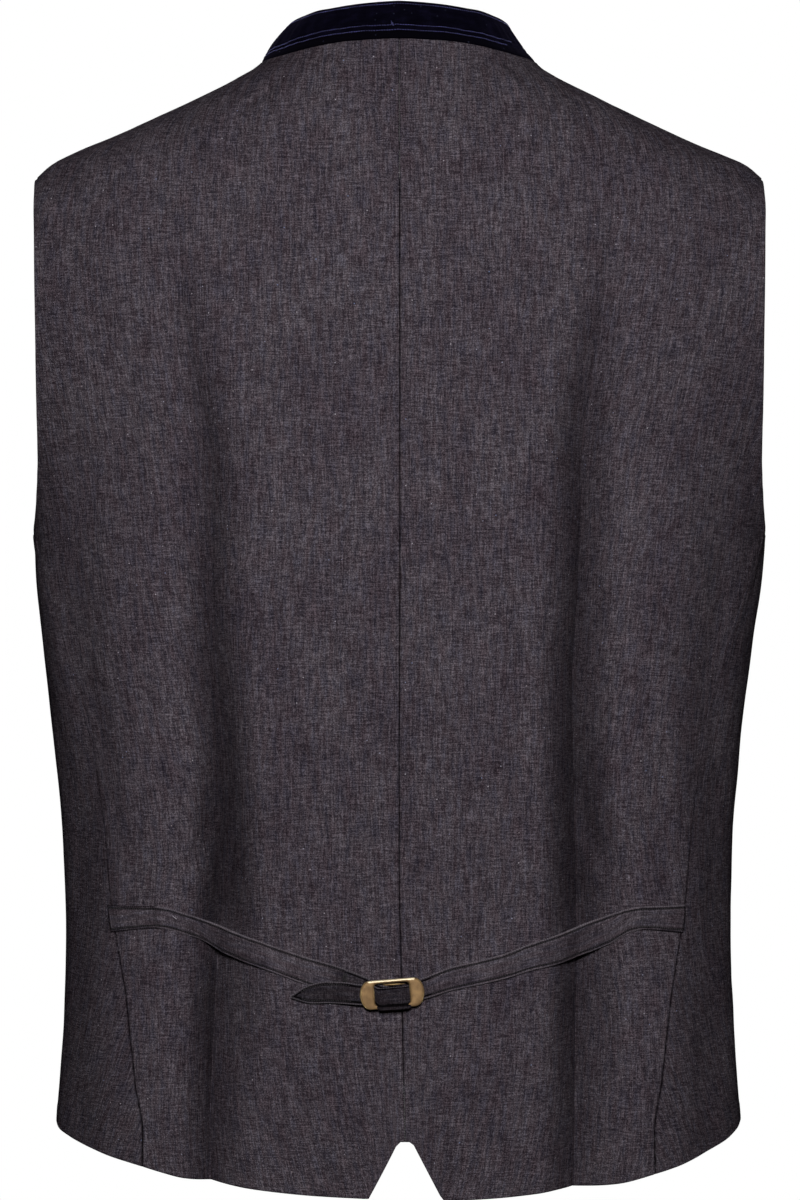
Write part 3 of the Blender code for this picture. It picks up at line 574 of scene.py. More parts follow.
SEAM_HEIGHTS = np.arange(-0.640, UNDERARM_HEIGHT + 0.006, 0.002)
SEAM_TURNS = np.array([turn_of_depth(h, eased(h, SIDE_SEAM, "height", "forward")) for h in SEAM_HEIGHTS])


def side_seam_turn(height):
    return np.interp(height, SEAM_HEIGHTS, SEAM_TURNS)


def back_edge_turn(height):
    """The back's side edge: along the side seam, up the armhole and along the shoulder seam."""
    if height < UNDERARM_HEIGHT:
        return float(side_seam_turn(height))
    if height > SHOULDER_TIP_HEIGHT:
        return 1.0
    return turn_of_aside(height, eased(height, BACK_ARMHOLE_EDGE, "height", "aside"))


def hem_height(side, turn):
    return eased(turn, HEM, "turn", "left" if side < 0 else "right")


def neck_height(turn):
    return eased(turn, NECKLINE, "turn", "height")


def notch_rise(from_seam, foot):
    """How far the inverted V in the middle of the back lifts the hem from where it would hang."""
    share = (from_seam - NOTCH_TOP_HALF_WIDTH) / (NOTCH_HALF_WIDTH - NOTCH_TOP_HALF_WIDTH)
    return (NOTCH_TOP - foot) * (1 - np.clip(share, 0.0, 1.0))


TROUGH_COLUMN = 0.4


def with_trough_columns(across, steps):
    """Adds columns close to the bottom of the trough."""
    close = np.array([-1.4, -0.8, -0.4, -0.15, 0.0, 0.15, 0.4, 0.8, 1.4]) / steps
    kept = across[np.abs(across - TROUGH_COLUMN) > 1.9 / steps]
    return np.sort(np.concatenate([kept, TROUGH_COLUMN + close]))


def crowded(steps, crowd_start, crowd_end):
    """Even shares from 0 to 1, with more of them close to the ends asked for."""
    inner = np.linspace(0.0, 1.0, steps + 1)
    close = np.array([0.07, 0.14, 0.22, 0.34, 0.52, 0.75]) / steps
    start = close if crowd_start else []
    end = 1 - close[::-1] if crowd_end else []
    return np.concatenate([inner[:1], start, inner[1:-1], end, inner[-1:]])


def run(points, axis):
    """The length of cloth from the grid's start along one of its axes."""
    steps = np.linalg.norm(np.diff(points, axis=axis), axis=-1)
    start = np.zeros_like(np.take(steps, [0], axis=axis))
    return np.concatenate([start, np.cumsum(steps, axis=axis)], axis=axis)


def evened(values, height):
    """A grid's columns, smoothed along their height over about 50 mm."""
    weight = bell(height[:, None] - height[None, :], 0.050)
    return (weight / weight.sum(axis=1, keepdims=True)) @ values


def grid_normals(points, flipped):
    across = np.gradient(points, axis=1)
    up = np.gradient(points, axis=0)
    normals = unit(np.cross(across, up))
    return -normals if flipped else normals


def rolled(distance, radius):
    """How far an edge of this roundness falls in, this far from it."""
    share = np.clip(1 - distance / radius, 0.0, 1.0)
    return radius * (1 - np.sqrt(1 - share * share))


def rounded(from_edge, radius):
    """How full a rounded edge is, this far from it: 0 at the edge and 1 where it is flat."""
    return np.sqrt(np.clip(1 - np.clip(1 - from_edge / radius, 0, 1) ** 2, 0, 1))


def crease_depth(creases, aside, height):
    """Soft troughs and ridges that fade at both ends."""
    total = np.zeros_like(aside)
    for crease in creases:
        along = np.array([crease.head_aside - crease.foot_aside, crease.head_height - crease.foot_height])
        length = np.hypot(*along)
        along = along / length
        from_foot = (aside - crease.foot_aside) * along[0] + (height - crease.foot_height) * along[1]
        off = (aside - crease.foot_aside) * along[1] - (height - crease.foot_height) * along[0]
        off = off + 0.12 * length * np.sin(math.pi * np.clip(from_foot / length, 0.0, 1.0))
        fade = np.sin(math.pi * np.clip(from_foot / length, 0.0, 1.0)) ** 1.5
        total = total + crease.depth * fade * bell(off, crease.spread)
    return total


def unevenness(aside, height, seed):
    """The low hills and hollows of cloth that has been worn, a few tenths of a millimetre."""
    rng = np.random.default_rng(seed)
    total = np.zeros_like(aside)
    for wavelength, depth in ((0.110, 0.00050), (0.060, 0.00032), (0.033, 0.00016), (0.018, 0.00007)):
        for _ in range(5):
            angle = rng.uniform(-0.5, 0.5) if rng.random() < 0.7 else rng.uniform(0.5, 2.6)
            phase = rng.uniform(0, 2 * math.pi)
            stretch = wavelength * rng.uniform(0.8, 1.25)
            wave = aside * math.cos(angle) + height * math.sin(angle) * 0.6
            total = total + depth * np.sin(2 * math.pi * wave / stretch + phase) / 2.2
    return total


def pucker(along, from_seam, seed):
    """The light gathering of cloth along a line of stitches."""
    rng = np.random.default_rng(seed)
    wave = np.zeros_like(along)
    for period in (0.0105, 0.0145, 0.0230):
        wave = wave + np.sin(2 * math.pi * along / period + rng.uniform(0, 6.28))
    return 0.00007 * wave * bell(from_seam, 0.006) * smooth_step(0.0, 0.0012, from_seam)


def seam_shadow_share(from_edge, height):
    """How much painted shadow the side seam's fold gets at a place, from its distance to the fold; it shows
    only low on the panel.
    """
    return bell(from_edge, 0.00075) * (1 - smooth_step(-0.392, -0.372, height))


def mark_points(mesh, name, values):
    mesh.attributes.new(name, "FLOAT", "POINT").data.foreach_set("value", values)


def mesh_from_grid(name, points, cloth_uv, kept=None, flipped=False):
    """A smooth sheet of quads from a grid of points, with UVs in metres of cloth."""
    rows, columns = points.shape[:2]
    index = np.arange(rows * columns).reshape(rows, columns)
    quads = np.stack([index[:-1, :-1], index[:-1, 1:], index[1:, 1:], index[1:, :-1]], axis=-1)
    quads = quads[kept] if kept is not None else quads.reshape(-1, 4)
    if flipped:
        quads = quads[:, ::-1]
    used, renumbered = np.unique(quads, return_inverse=True)
    quads = renumbered.reshape(-1, 4)
    mesh = bpy.data.meshes.new(name)
    mesh.vertices.add(len(used))
    mesh.vertices.foreach_set("co", points.reshape(-1, 3)[used].ravel())
    mesh.loops.add(quads.size)
    mesh.loops.foreach_set("vertex_index", quads.ravel())
    mesh.polygons.add(len(quads))
    mesh.polygons.foreach_set("loop_start", np.arange(0, quads.size, 4))
    mesh.update(calc_edges=True)
    layer = mesh.uv_layers.new(name="cloth")
    layer.data.foreach_set("uv", cloth_uv.reshape(-1, 2)[used][quads.ravel()].ravel())
    mesh.shade_smooth()
    return mesh, used


def crease_line(mesh, shape, column, deep):
    """Marks the edges down one column of its grid sharp, so that the cloth shades as at a sharp fold there.
    """
    starts = np.flatnonzero(deep[:-1] & deep[1:]) * shape[1] + column
    wanted = {(int(k), int(k) + shape[1]) for k in starts}
    sharp = [tuple(sorted(edge.vertices)) in wanted for edge in mesh.edges]
    mesh.attributes.new("sharp_edge", "BOOLEAN", "EDGE").data.foreach_set("value", sharp)


def ring_mesh(name, rings, cloth_uv, capped=True):
    """A closed smooth tube from sections, each a ring of points, with its ends filled."""
    count, around = rings.shape[:2]
    index = np.arange(count * around).reshape(count, around)
    beside = np.roll(index, -1, axis=1)
    quads = np.stack([index[:-1], beside[:-1], beside[1:], index[1:]], axis=-1).reshape(-1, 4)
    faces = [tuple(quad) for quad in quads.tolist()]
    if capped:
        faces += [tuple(index[0, ::-1].tolist()), tuple(index[-1].tolist())]
    mesh = bpy.data.meshes.new(name)
    mesh.from_pydata(rings.reshape(-1, 3).tolist(), [], faces)
    layer = mesh.uv_layers.new(name="cloth")
    corners = np.empty(len(mesh.loops), np.int32)
    mesh.loops.foreach_get("vertex_index", corners)
    layer.data.foreach_set("uv", cloth_uv.reshape(-1, 2)[corners].ravel())
    mesh.shade_smooth()
    return mesh


def add_piece(name, mesh, material, replaced=()):
    """Puts a piece in the scene, on the garment's one body."""
    piece = bpy.data.objects.new(name, mesh)
    bpy.context.scene.collection.objects.link(piece)
    mesh.materials.clear()
    mesh.materials.append(material)
    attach(piece, "root")
    if replaced:
        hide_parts(*replaced)
    return piece


def give_wall(piece, used, thin):
    """Lays the wall inside the drawn face, thinner where thin is near 1, so that edges are rounded."""
    group = piece.vertex_groups.new(name="wall")
    shares = np.round(1 - thin.reshape(-1)[used], 2)
    for share in np.unique(shares):
        group.add(np.flatnonzero(shares == share).tolist(), float(share), "REPLACE")
    shell = piece.modifiers.new("wall", "SOLIDIFY")
    shell.thickness = CLOTH_WALL
    shell.offset = -1
    shell.vertex_group = "wall"
    shell.thickness_vertex_group = 0.0


BACK_COLUMNS = 104
BACK_ROWS = 300
EDGE_ROLL = 0.0011
SEAM_ROLL = 0.0011
ALLOWANCE = 0.0095
ALLOWANCE_STEP = 0.00022
EDGE_THINNING = 0.75
SHARP_TROUGH_DEPTH = 0.004


def edge_relief(distance, is_seam, shown=1.0):
    """What a seam or a turned edge does to the outer face: the roll, and the allowance under it."""
    radius = SEAM_ROLL * shown if is_seam else EDGE_ROLL
    plateau = ALLOWANCE_STEP * (1 - smooth_step(ALLOWANCE - 0.0012, ALLOWANCE + 0.0012, distance))
    return plateau - rolled(distance, radius)


def roll_shown(height):
    """The share of its full roll that the side seam shows: all of it below the belt, little above."""
    return mix(0.25, 1.0, 1 - smooth_step(-0.43, -0.36, height))


def calmed(from_sides, from_top):
    """The share of its creases that the cloth keeps near its seams and edges, which hold it flat."""
    return smooth_step(0.002, 0.012, from_sides) * smooth_step(0.002, 0.012, from_top)


def thinned(distances):
    """How much thinner the wall is near the turned edges, from 0 to 1."""
    rolls = [rolled(distance, EDGE_ROLL) for distance in distances]
    return np.maximum.reduce([EDGE_THINNING * roll / EDGE_ROLL for roll in rolls])


def back_grid(side):
    """Turns and heights of a back's grid, from its centre seam out and up from the hem.

    One column of it follows the bottom of the trough, whose height on each row is found by repeated
    estimates. The heights of the side edge and of that column, and its number, come with the grid.
    """
    foot_turn = float(side_seam_turn(SEAM_FOOT))
    outer_foot = float(hem_height(side, foot_turn))
    up = crowded(BACK_ROWS, True, True)
    across = with_trough_columns(crowded(BACK_COLUMNS, True, True), BACK_COLUMNS)
    outer_height = mix(outer_foot, 0.0, up)
    edge = np.array([back_edge_turn(height) for height in outer_height])
    edge = edge - turn_of_length(SEAM_GAP / 2, outer_height, True)
    bottom_height = outer_height
    for _ in range(4):
        trough_x = trough(side, bottom_height, "from_centre")
        bottom = np.array([turn_of_aside(h, x) for h, x in zip(bottom_height, trough_x)]) / edge
        bottom = np.minimum(bottom, mix(1.0, 0.45, smooth_step(-0.120, -0.020, bottom_height)))
        bottom_foot = hem_height(side, bottom * foot_turn)
        bottom_height = mix(bottom_foot, neck_height(bottom), up)
    inside = across[None, :] / TROUGH_COLUMN * bottom[:, None]
    beyond = (across[None, :] - TROUGH_COLUMN) / (1 - TROUGH_COLUMN)
    share = np.where(across[None, :] < TROUGH_COLUMN, inside, mix(bottom[:, None], 1.0, beyond))
    foot = hem_height(side, share * foot_turn)
    height = mix(foot, neck_height(share), up[:, None])
    from_seam = share * edge[:, None] * quarter_length(foot, True)
    height = height + notch_rise(from_seam, foot) * (1 - up[:, None]) ** 6
    start = turn_of_length(SEAM_GAP / 2, height, True)
    bottom_column = int(np.argmin(np.abs(across - TROUGH_COLUMN)))
    return mix(start, edge[:, None], share), height, outer_height, bottom_height, bottom_column


def make_back(side, word, wool):
    turn, height, outer_height, bottom_height, bottom_column = back_grid(side)
    points = cloth_point(side, turn, height)
    flipped = side < 0
    from_centre = run(points, 1)
    from_edge = from_centre[:, -1:] - from_centre
    from_hem = run(points, 0)
    from_neck = from_hem[-1:, :] - from_hem
    at_seam = (outer_height < UNDERARM_HEIGHT) | (outer_height > SHOULDER_TIP_HEIGHT)
    relief = edge_relief(from_centre, True) + edge_relief(from_hem, False) - rolled(from_neck, SEAM_ROLL)
    seam = edge_relief(from_edge, True, roll_shown(outer_height)[:, None])
    relief = relief + np.where(at_seam[:, None], seam, edge_relief(from_edge, False))
    calm = calmed(np.minimum(from_centre, from_edge), from_neck)
    from_bottom = np.abs(from_centre - from_centre[:, bottom_column : bottom_column + 1])
    calm = calm * smooth_step(0.0, 0.010, from_bottom)
    worn = unevenness(side * from_centre, points[..., 2], 11 + side)
    worn = worn - crease_depth(BACK_CREASES[side], np.abs(points[..., 0]), height)
    relief = relief + worn * calm
    relief = relief + pucker(points[..., 2], from_centre, 3) + pucker(points[..., 2], from_edge, 5)
    points = points + grid_normals(points, flipped) * relief[..., None]
    thin = thinned((from_centre, from_edge, from_hem))
    level = run(form_point(turn, height)[0], 1)
    drawn_in = evened(from_centre - level, outer_height)
    cloth_uv = stacked(side * (level + drawn_in) + 0.5, points[..., 2] + 1.0)
    mesh, used = mesh_from_grid(f"wool_back_{word}", points, cloth_uv, None, flipped)
    deep = trough(side, bottom_height, "depth") > SHARP_TROUGH_DEPTH
    crease_line(mesh, points.shape, bottom_column, deep)
    # Painted shadow along the side seam's fold and, at half strength, along the centre seam
    shadow_share = seam_shadow_share(from_edge, points[..., 2]) + 0.5 * bell(from_centre, 0.0005)
    mark_points(mesh, "seam_shadow_share", shadow_share.ravel()[used])
    piece = add_piece(f"wool_back_{word}", mesh, wool, [f"back_{word}"])
    give_wall(piece, used, thin)
    return piece


FRONT_COLUMNS = 116
FRONT_SPLIT_COLUMN = 70
FRONT_LOW_ROWS = 150
FRONT_HIGH_ROWS = 110


def lap_turn(height):
    return 2 + turn_of_length(LAP, height, False)


def lap_inset(side, turn):
    """The right front steps in behind the left one where they lap."""
    return LAP_STEP * smooth_step(1.72, 1.88, turn) if side > 0 else np.zeros_like(turn)


def front_grid(side):
    """Turns and heights of a front's grid: from its front edge to the side, and up from the hem.

    The low rows reach back to the side seam. The high ones end at the armhole, at the split column.
    """
    inner = crowded(FRONT_SPLIT_COLUMN, True, True)
    outer = crowded(FRONT_COLUMNS - FRONT_SPLIT_COLUMN, False, True)
    low = crowded(FRONT_LOW_ROWS, True, True)
    high = crowded(FRONT_HIGH_ROWS, True, True)

    def low_turn(height):
        near = mix(lap_turn(height[:, : len(inner)]), ARMHOLE_CORNER_TURN, inner[None, :])
        beyond = height[:, len(inner) - 1 :]
        edge = side_seam_turn(beyond) + turn_of_length(SEAM_GAP / 2, beyond, True)
        far = mix(ARMHOLE_CORNER_TURN, edge, outer[None, :])
        return np.concatenate([near, far[:, 1:]], axis=1)

    columns = len(inner) + len(outer) - 1
    foot = hem_height(side, low_turn(np.full((1, columns), SEAM_FOOT)))
    top_turn = low_turn(np.full((1, columns), UNDERARM_HEIGHT))
    split_height = eased(top_turn, ARMHOLE_BOTTOM, "turn", "height")
    split_height[:, : len(inner)] = ARMHOLE_CORNER_HEIGHT
    low_height = mix(foot, split_height, low[:, None])
    low_turns = low_turn(low_height)

    outer_height = mix(ARMHOLE_CORNER_HEIGHT, 0.0, high)
    forward = eased(outer_height, FRONT_ARMHOLE_EDGE, "height", "forward")
    edge = np.array([turn_of_depth(h, f) if f > 0 else 1.0 for h, f in zip(outer_height, forward)])
    edge = edge + turn_of_length(SEAM_GAP / 2, outer_height, False)
    corner = turn_of_depth(ARMHOLE_CORNER_HEIGHT, FRONT_ARMHOLE_EDGE[0].forward)
    edge = edge + (ARMHOLE_CORNER_TURN - corner) * np.maximum(0.0, 1 - 4 * high)
    neck_turn = mix(lap_turn(NECK_FRONT_HEIGHT), 1.0, inner)
    head = neck_height(neck_turn)
    high_height = mix(ARMHOLE_CORNER_HEIGHT, head[None, :], high[:, None])
    start = lap_turn(mix(ARMHOLE_CORNER_HEIGHT, NECK_FRONT_HEIGHT, high))
    high_turns = mix(start[:, None], edge[:, None], inner[None, :])

    fill = columns - len(inner)
    high_height = np.pad(high_height, ((0, 0), (0, fill)), mode="edge")
    high_turns = np.pad(high_turns, ((0, 0), (0, fill)), mode="edge")
    turn = np.concatenate([low_turns, high_turns[1:]], axis=0)
    height = np.concatenate([low_height, high_height[1:]], axis=0)
    return turn, height, len(low) - 1, len(inner) - 1


def make_front(side, word, wool):
    turn, height, split_row, split_column = front_grid(side)
    points = cloth_point(side, turn, height, lap_inset(side, turn))
    flipped = side > 0
    rows, columns = turn.shape
    kept = np.ones((rows - 1, columns - 1), bool)
    kept[split_row:, split_column:] = False

    from_front = run(points, 1)
    low_total = from_front[:, -1:]
    high_total = from_front[:, split_column : split_column + 1]
    is_low = np.arange(rows)[:, None] <= split_row
    from_side = np.where(is_low, low_total, high_total) - from_front
    from_hem = run(points, 0)
    beyond = np.arange(columns)[None, :] > split_column
    top = np.where(beyond, from_hem[split_row : split_row + 1, :], from_hem[-1:, :])
    from_top = np.maximum(top - from_hem, 0.0)
    seam_rows = is_low | (height[:, split_column : split_column + 1] > SHOULDER_TIP_HEIGHT)

    relief = edge_relief(from_front, False) + edge_relief(from_hem, False)
    seam = edge_relief(from_side, True, roll_shown(height))
    relief = relief + np.where(seam_rows, seam, edge_relief(from_side, False))
    relief = relief + np.where(beyond, edge_relief(from_top, False), -rolled(from_top, SEAM_ROLL))
    calm = calmed(np.minimum(from_front, from_side), from_top)
    worn = unevenness(side * from_front, points[..., 2], 31 + side)
    worn = worn - crease_depth(FRONT_CREASES[side], from_front, height)
    buttoned = smooth_step(0.030, 0.060, from_front)
    relief = relief + worn * calm * mix(0.25, 1.0, buttoned)
    relief = np.where(is_low | ~beyond, relief, 0.0)

    normals = grid_normals(points, flipped)
    bridge = grid_normals(points[:, : split_column + 1], flipped)
    normals[split_row:, : split_column + 1] = bridge[split_row:]
    normals[: split_row + 1, split_column:] = grid_normals(points[: split_row + 1], flipped)[:, split_column:]
    points = points + normals * relief[..., None]
    thin = thinned((from_front, from_side, from_hem))
    thin = np.maximum(thin, np.where(beyond, thinned((from_top,)), 0.0))
    cloth_uv = stacked(side * (from_front + 0.25) + 0.5, points[..., 2] + 1.0)
    mesh, used = mesh_from_grid(f"wool_front_{word}", points, cloth_uv, kept, flipped)
    # Painted shadow along the side seam's fold
    mark_points(mesh, "seam_shadow_share", seam_shadow_share(from_side, points[..., 2]).ravel()[used])
    piece = add_piece(f"wool_front_{word}", mesh, wool, [f"front_{word}"])
    give_wall(piece, used, thin)
    return piece


# Collar

def neck_point(turn):
    turn = np.asarray(turn, float)
    height = neck_height(np.abs(turn))
    left = cloth_point(-1, np.abs(turn), height)
    right = cloth_point(1, np.abs(turn), height)
    return np.where((turn < 0)[..., None], left, right)


def collar_frame(turn):
    """Where the collar starts from, and the ways that it rises, faces and runs."""
    step = 0.02
    start = neck_point(turn)
    along = unit(neck_point(turn + step) - neck_point(turn - step))
    level_out = unit(stacked(along[..., 1], -along[..., 0], 0.0))
    lean = np.radians(eased(np.abs(turn), COLLAR_LEAN, "turn", "degrees"))[..., None]
    rise = np.array([0.0, 0.0, 1.0]) * np.cos(lean) - level_out * np.sin(lean)
    rise = square_to(rise, along)
    return start, rise, unit(np.cross(along, rise)), along


def collar_section():
    """Around the collar: distances up from the seam and out from its outer face."""
    radius = COLLAR_WALL / 2
    top = COLLAR_WIDTH - radius
    outer = [(rise, 0.0) for rise in (0.0001, 0.0003, 0.0007, 0.0013, 0.0025)]
    outer += [(rise, 0.0) for rise in np.linspace(0.0040, top, 26)]
    angles = np.radians(np.linspace(75, -75, 9))
    over = [(top + radius * math.cos(a), -radius + radius * math.sin(a)) for a in angles]
    inner = [(rise, -COLLAR_WALL) for rise in np.linspace(top, 0.0001, 24)]
    return np.array(outer + over + inner)


def collar_swell(turn, rise):
    """The padded velvet between its rows of stitches, in metres out from the flat face."""
    hills = 0.00028 * np.sin(math.pi * np.clip((rise - 0.0068) / (COLLAR_WIDTH - 0.0092), 0.0, 1.0)) ** 0.7
    upright = np.sin(math.pi * np.clip(rise / COLLAR_WIDTH, 0, 1))
    wave = 0.00022 * np.sin(31 * turn + 0.7) * upright
    return hills + (wave + 0.00012 * np.sin(83 * turn + 2.0) * upright)


TWIN_ROW_LOW = 0.0055
TWIN_ROW_HIGH = 0.0087
TOP_ROW_FROM_EDGE = 0.0023
STITCH_DIP = 0.00030
COLLAR_SWAY = 0.0012


def collar_point(turn, rise, out):
    start, up, facing, _ = collar_frame(turn)
    share = np.asarray(rise) / COLLAR_WIDTH
    rise = rise * eased(np.abs(turn), COLLAR_HEIGHT, "turn", "share")
    point = start + up * np.asarray(rise)[..., None] + facing * np.asarray(out)[..., None]
    point[..., 0] -= COLLAR_SWAY * 4 * share * (1 - share)
    return point


def twin_row(turn, base):
    """The twin rows run closer to the seam towards the wearer's left shoulder."""
    return base * mix(1.0, 0.70, smooth_step(0.35, 0.95, -np.asarray(turn)))


def make_collar(velvet):
    turns = np.linspace(-COLLAR_END_TURN, COLLAR_END_TURN, 460)
    section = collar_section()
    rise = np.broadcast_to(section[:, 0], (len(turns), len(section)))
    out = np.broadcast_to(section[:, 1], rise.shape)
    turn = np.broadcast_to(turns[:, None], rise.shape)
    outer = out > -1e-9
    dips = np.zeros_like(rise)
    for row in (twin_row(turn, TWIN_ROW_LOW), twin_row(turn, TWIN_ROW_HIGH)):
        dips = dips + STITCH_DIP * bell(rise - row, 0.00055)
    dips = dips + STITCH_DIP * bell(rise - COLLAR_WIDTH + TOP_ROW_FROM_EDGE, 0.0006)
    tuck = 0.0007 * (1 - smooth_step(0.0, 0.0012, rise))
    moved = np.where(outer, out + collar_swell(turn, rise) - dips - tuck, out)
    points = collar_point(turn, rise, moved)
    around = np.concatenate([[0.0], np.cumsum(np.hypot(*np.diff(section, axis=0).T))])
    along = run(points[:, :1], 0)
    cloth_uv = stacked(along, np.broadcast_to(around, rise.shape))
    mesh = ring_mesh("velvet_collar", points, cloth_uv)
    return add_piece("velvet_collar", mesh, velvet, ["collar"])


# Stitches, each a short rounded length of thread that dives into the cloth at both ends

def stitch_mesh(name, middles, directions, facings, length, width, bow):
    """Joined stitches. bow is how much higher a stitch stands in its middle than at its ends."""
    along = np.array([-0.5, -0.44, -0.25, 0.0, 0.25, 0.44, 0.5])
    girth = np.array([0.35, 0.75, 1.0, 1.0, 1.0, 0.75, 0.35])
    angles = np.radians(np.arange(0, 360, 60))
    across = np.cross(facings, directions)
    sunk = bow * (1 - (2 * along) ** 2)
    radius = girth[:, None] * width / 2
    length = np.broadcast_to(np.asarray(length, float), (len(middles),))
    rings = (
        middles[:, None, None]
        + directions[:, None, None] * (along[:, None] * length[:, None, None])[:, :, :, None]
        + facings[:, None, None] * (sunk[:, None] + radius * np.sin(angles))[None, :, :, None]
        + across[:, None, None] * (radius * np.cos(angles))[None, :, :, None]
    )
    count, steps, around = rings.shape[:3]
    index = np.arange(count * steps * around).reshape(count, steps, around)
    beside = np.roll(index, -1, axis=2)
    quads = np.stack([index[:, :-1], beside[:, :-1], beside[:, 1:], index[:, 1:]], axis=-1).reshape(-1, 4)
    faces = quads.tolist() + index[:, 0, ::-1].tolist() + index[:, -1].tolist()
    mesh = bpy.data.meshes.new(name)
    mesh.from_pydata(rings.reshape(-1, 3).tolist(), [], faces)
    mesh.shade_smooth()
    return mesh


def spaced(points, facings, pitch, jitter, seed):
    """Middles, directions and facings at an even spacing along a line of points."""
    rng = np.random.default_rng(seed)
    length = run(points[:, None], 0)[:, 0]
    places = np.arange(pitch / 2, length[-1], pitch)
    places = places + rng.uniform(-jitter, jitter, len(places)) * pitch

    def at(values, where):
        return np.stack([np.interp(where, length, values[:, k]) for k in range(3)], axis=-1)

    middles = at(points, places)
    directions = unit(at(points, places + 0.0004) - at(points, places - 0.0004))
    return middles, directions, square_to(unit(at(facings, places)), directions)


Thread = namedtuple("Thread", "pitch length width bow")
TOPSTITCH = Thread(0.0014, 0.00098, 0.00050, 0.00012)
EDGE_STITCH = Thread(0.0013, 0.00092, 0.00044, 0.00012)


def joined_stitches(name, groups, thread, material):
    """Several lines of stitches in one mesh. Each group is a line of points and its facings."""
    found = [spaced(points, facings, thread.pitch, 0.06, k) for k, (points, facings) in enumerate(groups)]
    middles, directions, facing = (np.concatenate(parts) for parts in zip(*found))
    mesh = stitch_mesh(name, middles, directions, facing, thread.length, thread.width, thread.bow)
    return add_piece(name, mesh, material)


def make_collar_stitches(thread_blue):
    groups = []
    rows = (
        (TWIN_ROW_LOW, -1.96, 0.62),
        (TWIN_ROW_HIGH, -1.96, 0.70),
        (COLLAR_WIDTH - TOP_ROW_FROM_EDGE, -1.96, 1.96),
    )
    for base, first, last in rows:
        turn = np.linspace(first, last, 500)
        rise = twin_row(turn, base) if base < 0.01 else np.full_like(turn, base)
        lift = collar_swell(turn, rise) - STITCH_DIP + 0.00012
        _, _, facing, _ = collar_frame(turn)
        groups.append((collar_point(turn, rise, lift), facing))
    joined_stitches("collar_topstitching", groups, TOPSTITCH, thread_blue)
    knot_turn = np.full(7, -0.017)
    rng = np.random.default_rng(8)
    knot_rise = TWIN_ROW_HIGH + rng.uniform(-0.0006, 0.0008, 7)
    middles = collar_point(knot_turn, knot_rise, rng.uniform(0.0001, 0.0008, 7))
    _, up, facing, along = collar_frame(knot_turn)
    angle = rng.uniform(0, math.pi, 7)[:, None]
    middles = middles + along * rng.uniform(-0.0009, 0.0009, 7)[:, None]
    directions = unit(along * np.cos(angle) + up * np.sin(angle) + facing * 0.2)
    facings = unit(np.cross(directions, np.cross(facing, directions)))
    lengths = np.array([0.0011, 0.0012, 0.0010, 0.0013, 0.0034, 0.0028, 0.0012])
    mesh = stitch_mesh("collar_thread_knot", middles, directions, facings, lengths, 0.00030, 0.0002)
    add_piece("collar_thread_knot", mesh, thread_blue)


# Belt

def back_surface(x, height, share=0.0):
    """The back under the belt, and its level outward direction.

    The belt spans the troughs. Its upper edge, where share is 1, stands clear and its lower one is tucked in.
    """
    aside = x - sway(x, True, height)
    wide = ring(height, "back_half_width")
    deep = ring(height, "back")
    squareness = ring(height, "squareness")
    inner = np.maximum(0.0, 1 - (np.abs(aside) / wide) ** squareness)
    y = -deep * inner ** (1 / squareness)
    out = outward_at(True, aside, y, height)
    across = np.abs(aside)
    swell = np.where(x < 0, roll_swell(-1, across, height), roll_swell(1, across, height))
    depth = np.where(x < 0, trough_depth(-1, across, height), trough_depth(1, across, height))
    tucked = np.clip((1 - np.asarray(share)) / 2, 0.0, 1.0)
    most = mix(0.005, 0.018, tucked)
    sag = most * np.tanh(mix(0.16, 0.80, tucked) * depth / most)
    return stacked(x, y + sag, height) + out * swell[..., None], out


def belt(table, x, column):
    return eased(x, table, "across", column)


def belt_point(table, x, lift, share):
    """Points of a strap: share runs from -1 at its lower edge to 1 at its upper one."""
    height = belt(table, x, "height")
    lean = np.radians(belt(BELT_CROSS_LEAN, x, "degrees"))
    reach = belt(table, x, "half_height") * share
    point, out = back_surface(x - np.sin(lean) * reach, height + np.cos(lean) * reach, share)
    return point + out * np.asarray(lift)[..., None]


LEFT_FLAT_STEPS = 150


def left_path():
    """Along the back to the tooth bar, round it, and back to the tack that holds the folded end."""
    bend = BAR_RADIUS + LAYER_GAP + STRAP_WALL / 2
    tack_lift = FLAT_LIFT + STRAP_WALL + LAYER_GAP
    flat = [(x, FLAT_LIFT) for x in np.linspace(LEFT_BELT[0].across, BAR_X, LEFT_FLAT_STEPS)]
    angles = np.linspace(-math.pi / 2, math.pi / 2, 17)[1:]
    loop = [(BAR_X + bend * math.cos(a), BAR_LIFT + bend * math.sin(a)) for a in angles]
    shares = np.linspace(0.0, 1.0, 25)[1:]
    top = BAR_LIFT + bend
    back = [(mix(BAR_X, TACK_X, s), mix(top, tack_lift, s * (1.7 - 0.7 * s))) for s in shares]
    return np.array(flat + loop + back)


def right_path():
    tail, anchor = RIGHT_BELT[0].across, RIGHT_BELT[-1].across
    places = np.concatenate([np.linspace(tail, 0.040, 110), np.linspace(0.040, anchor, 100)[1:]])
    return np.stack([places, belt(RIGHT_BELT, places, "lift")], axis=-1)


EDGE_SHARES = np.array([0.0, 0.012, 0.028, 0.046, 0.066, 0.088, 0.112, 0.138, 0.17, 0.22, 0.30, 0.40])
STRAP_SHARES = np.concatenate([EDGE_SHARES, [0.5], 1 - EDGE_SHARES[::-1]])
STRAP_STITCH_INSET = 0.0016


# Where the window starts and stops cramming the right half
CRAMMED_FROM = (-0.0135, -0.0105)
CRAMMED_TO = (0.0048, 0.0072)


def right_belt_point(x, lift, share):
    """In the buckle's window the cloth is crammed over the frame's lower bar."""
    bulge = smooth_step(*CRAMMED_FROM, x) * (1 - smooth_step(*CRAMMED_TO, x))
    low = smooth_step(0.1, 1.0, -share)
    grown = share - 0.64 * bulge * low - 0.36 * bulge * smooth_step(0.2, 1.0, share)
    crown = 0.0008 * np.cos(0.5 * math.pi * share) + 0.0022 * low
    return belt_point(RIGHT_BELT, x, lift + bulge * crown, grown)


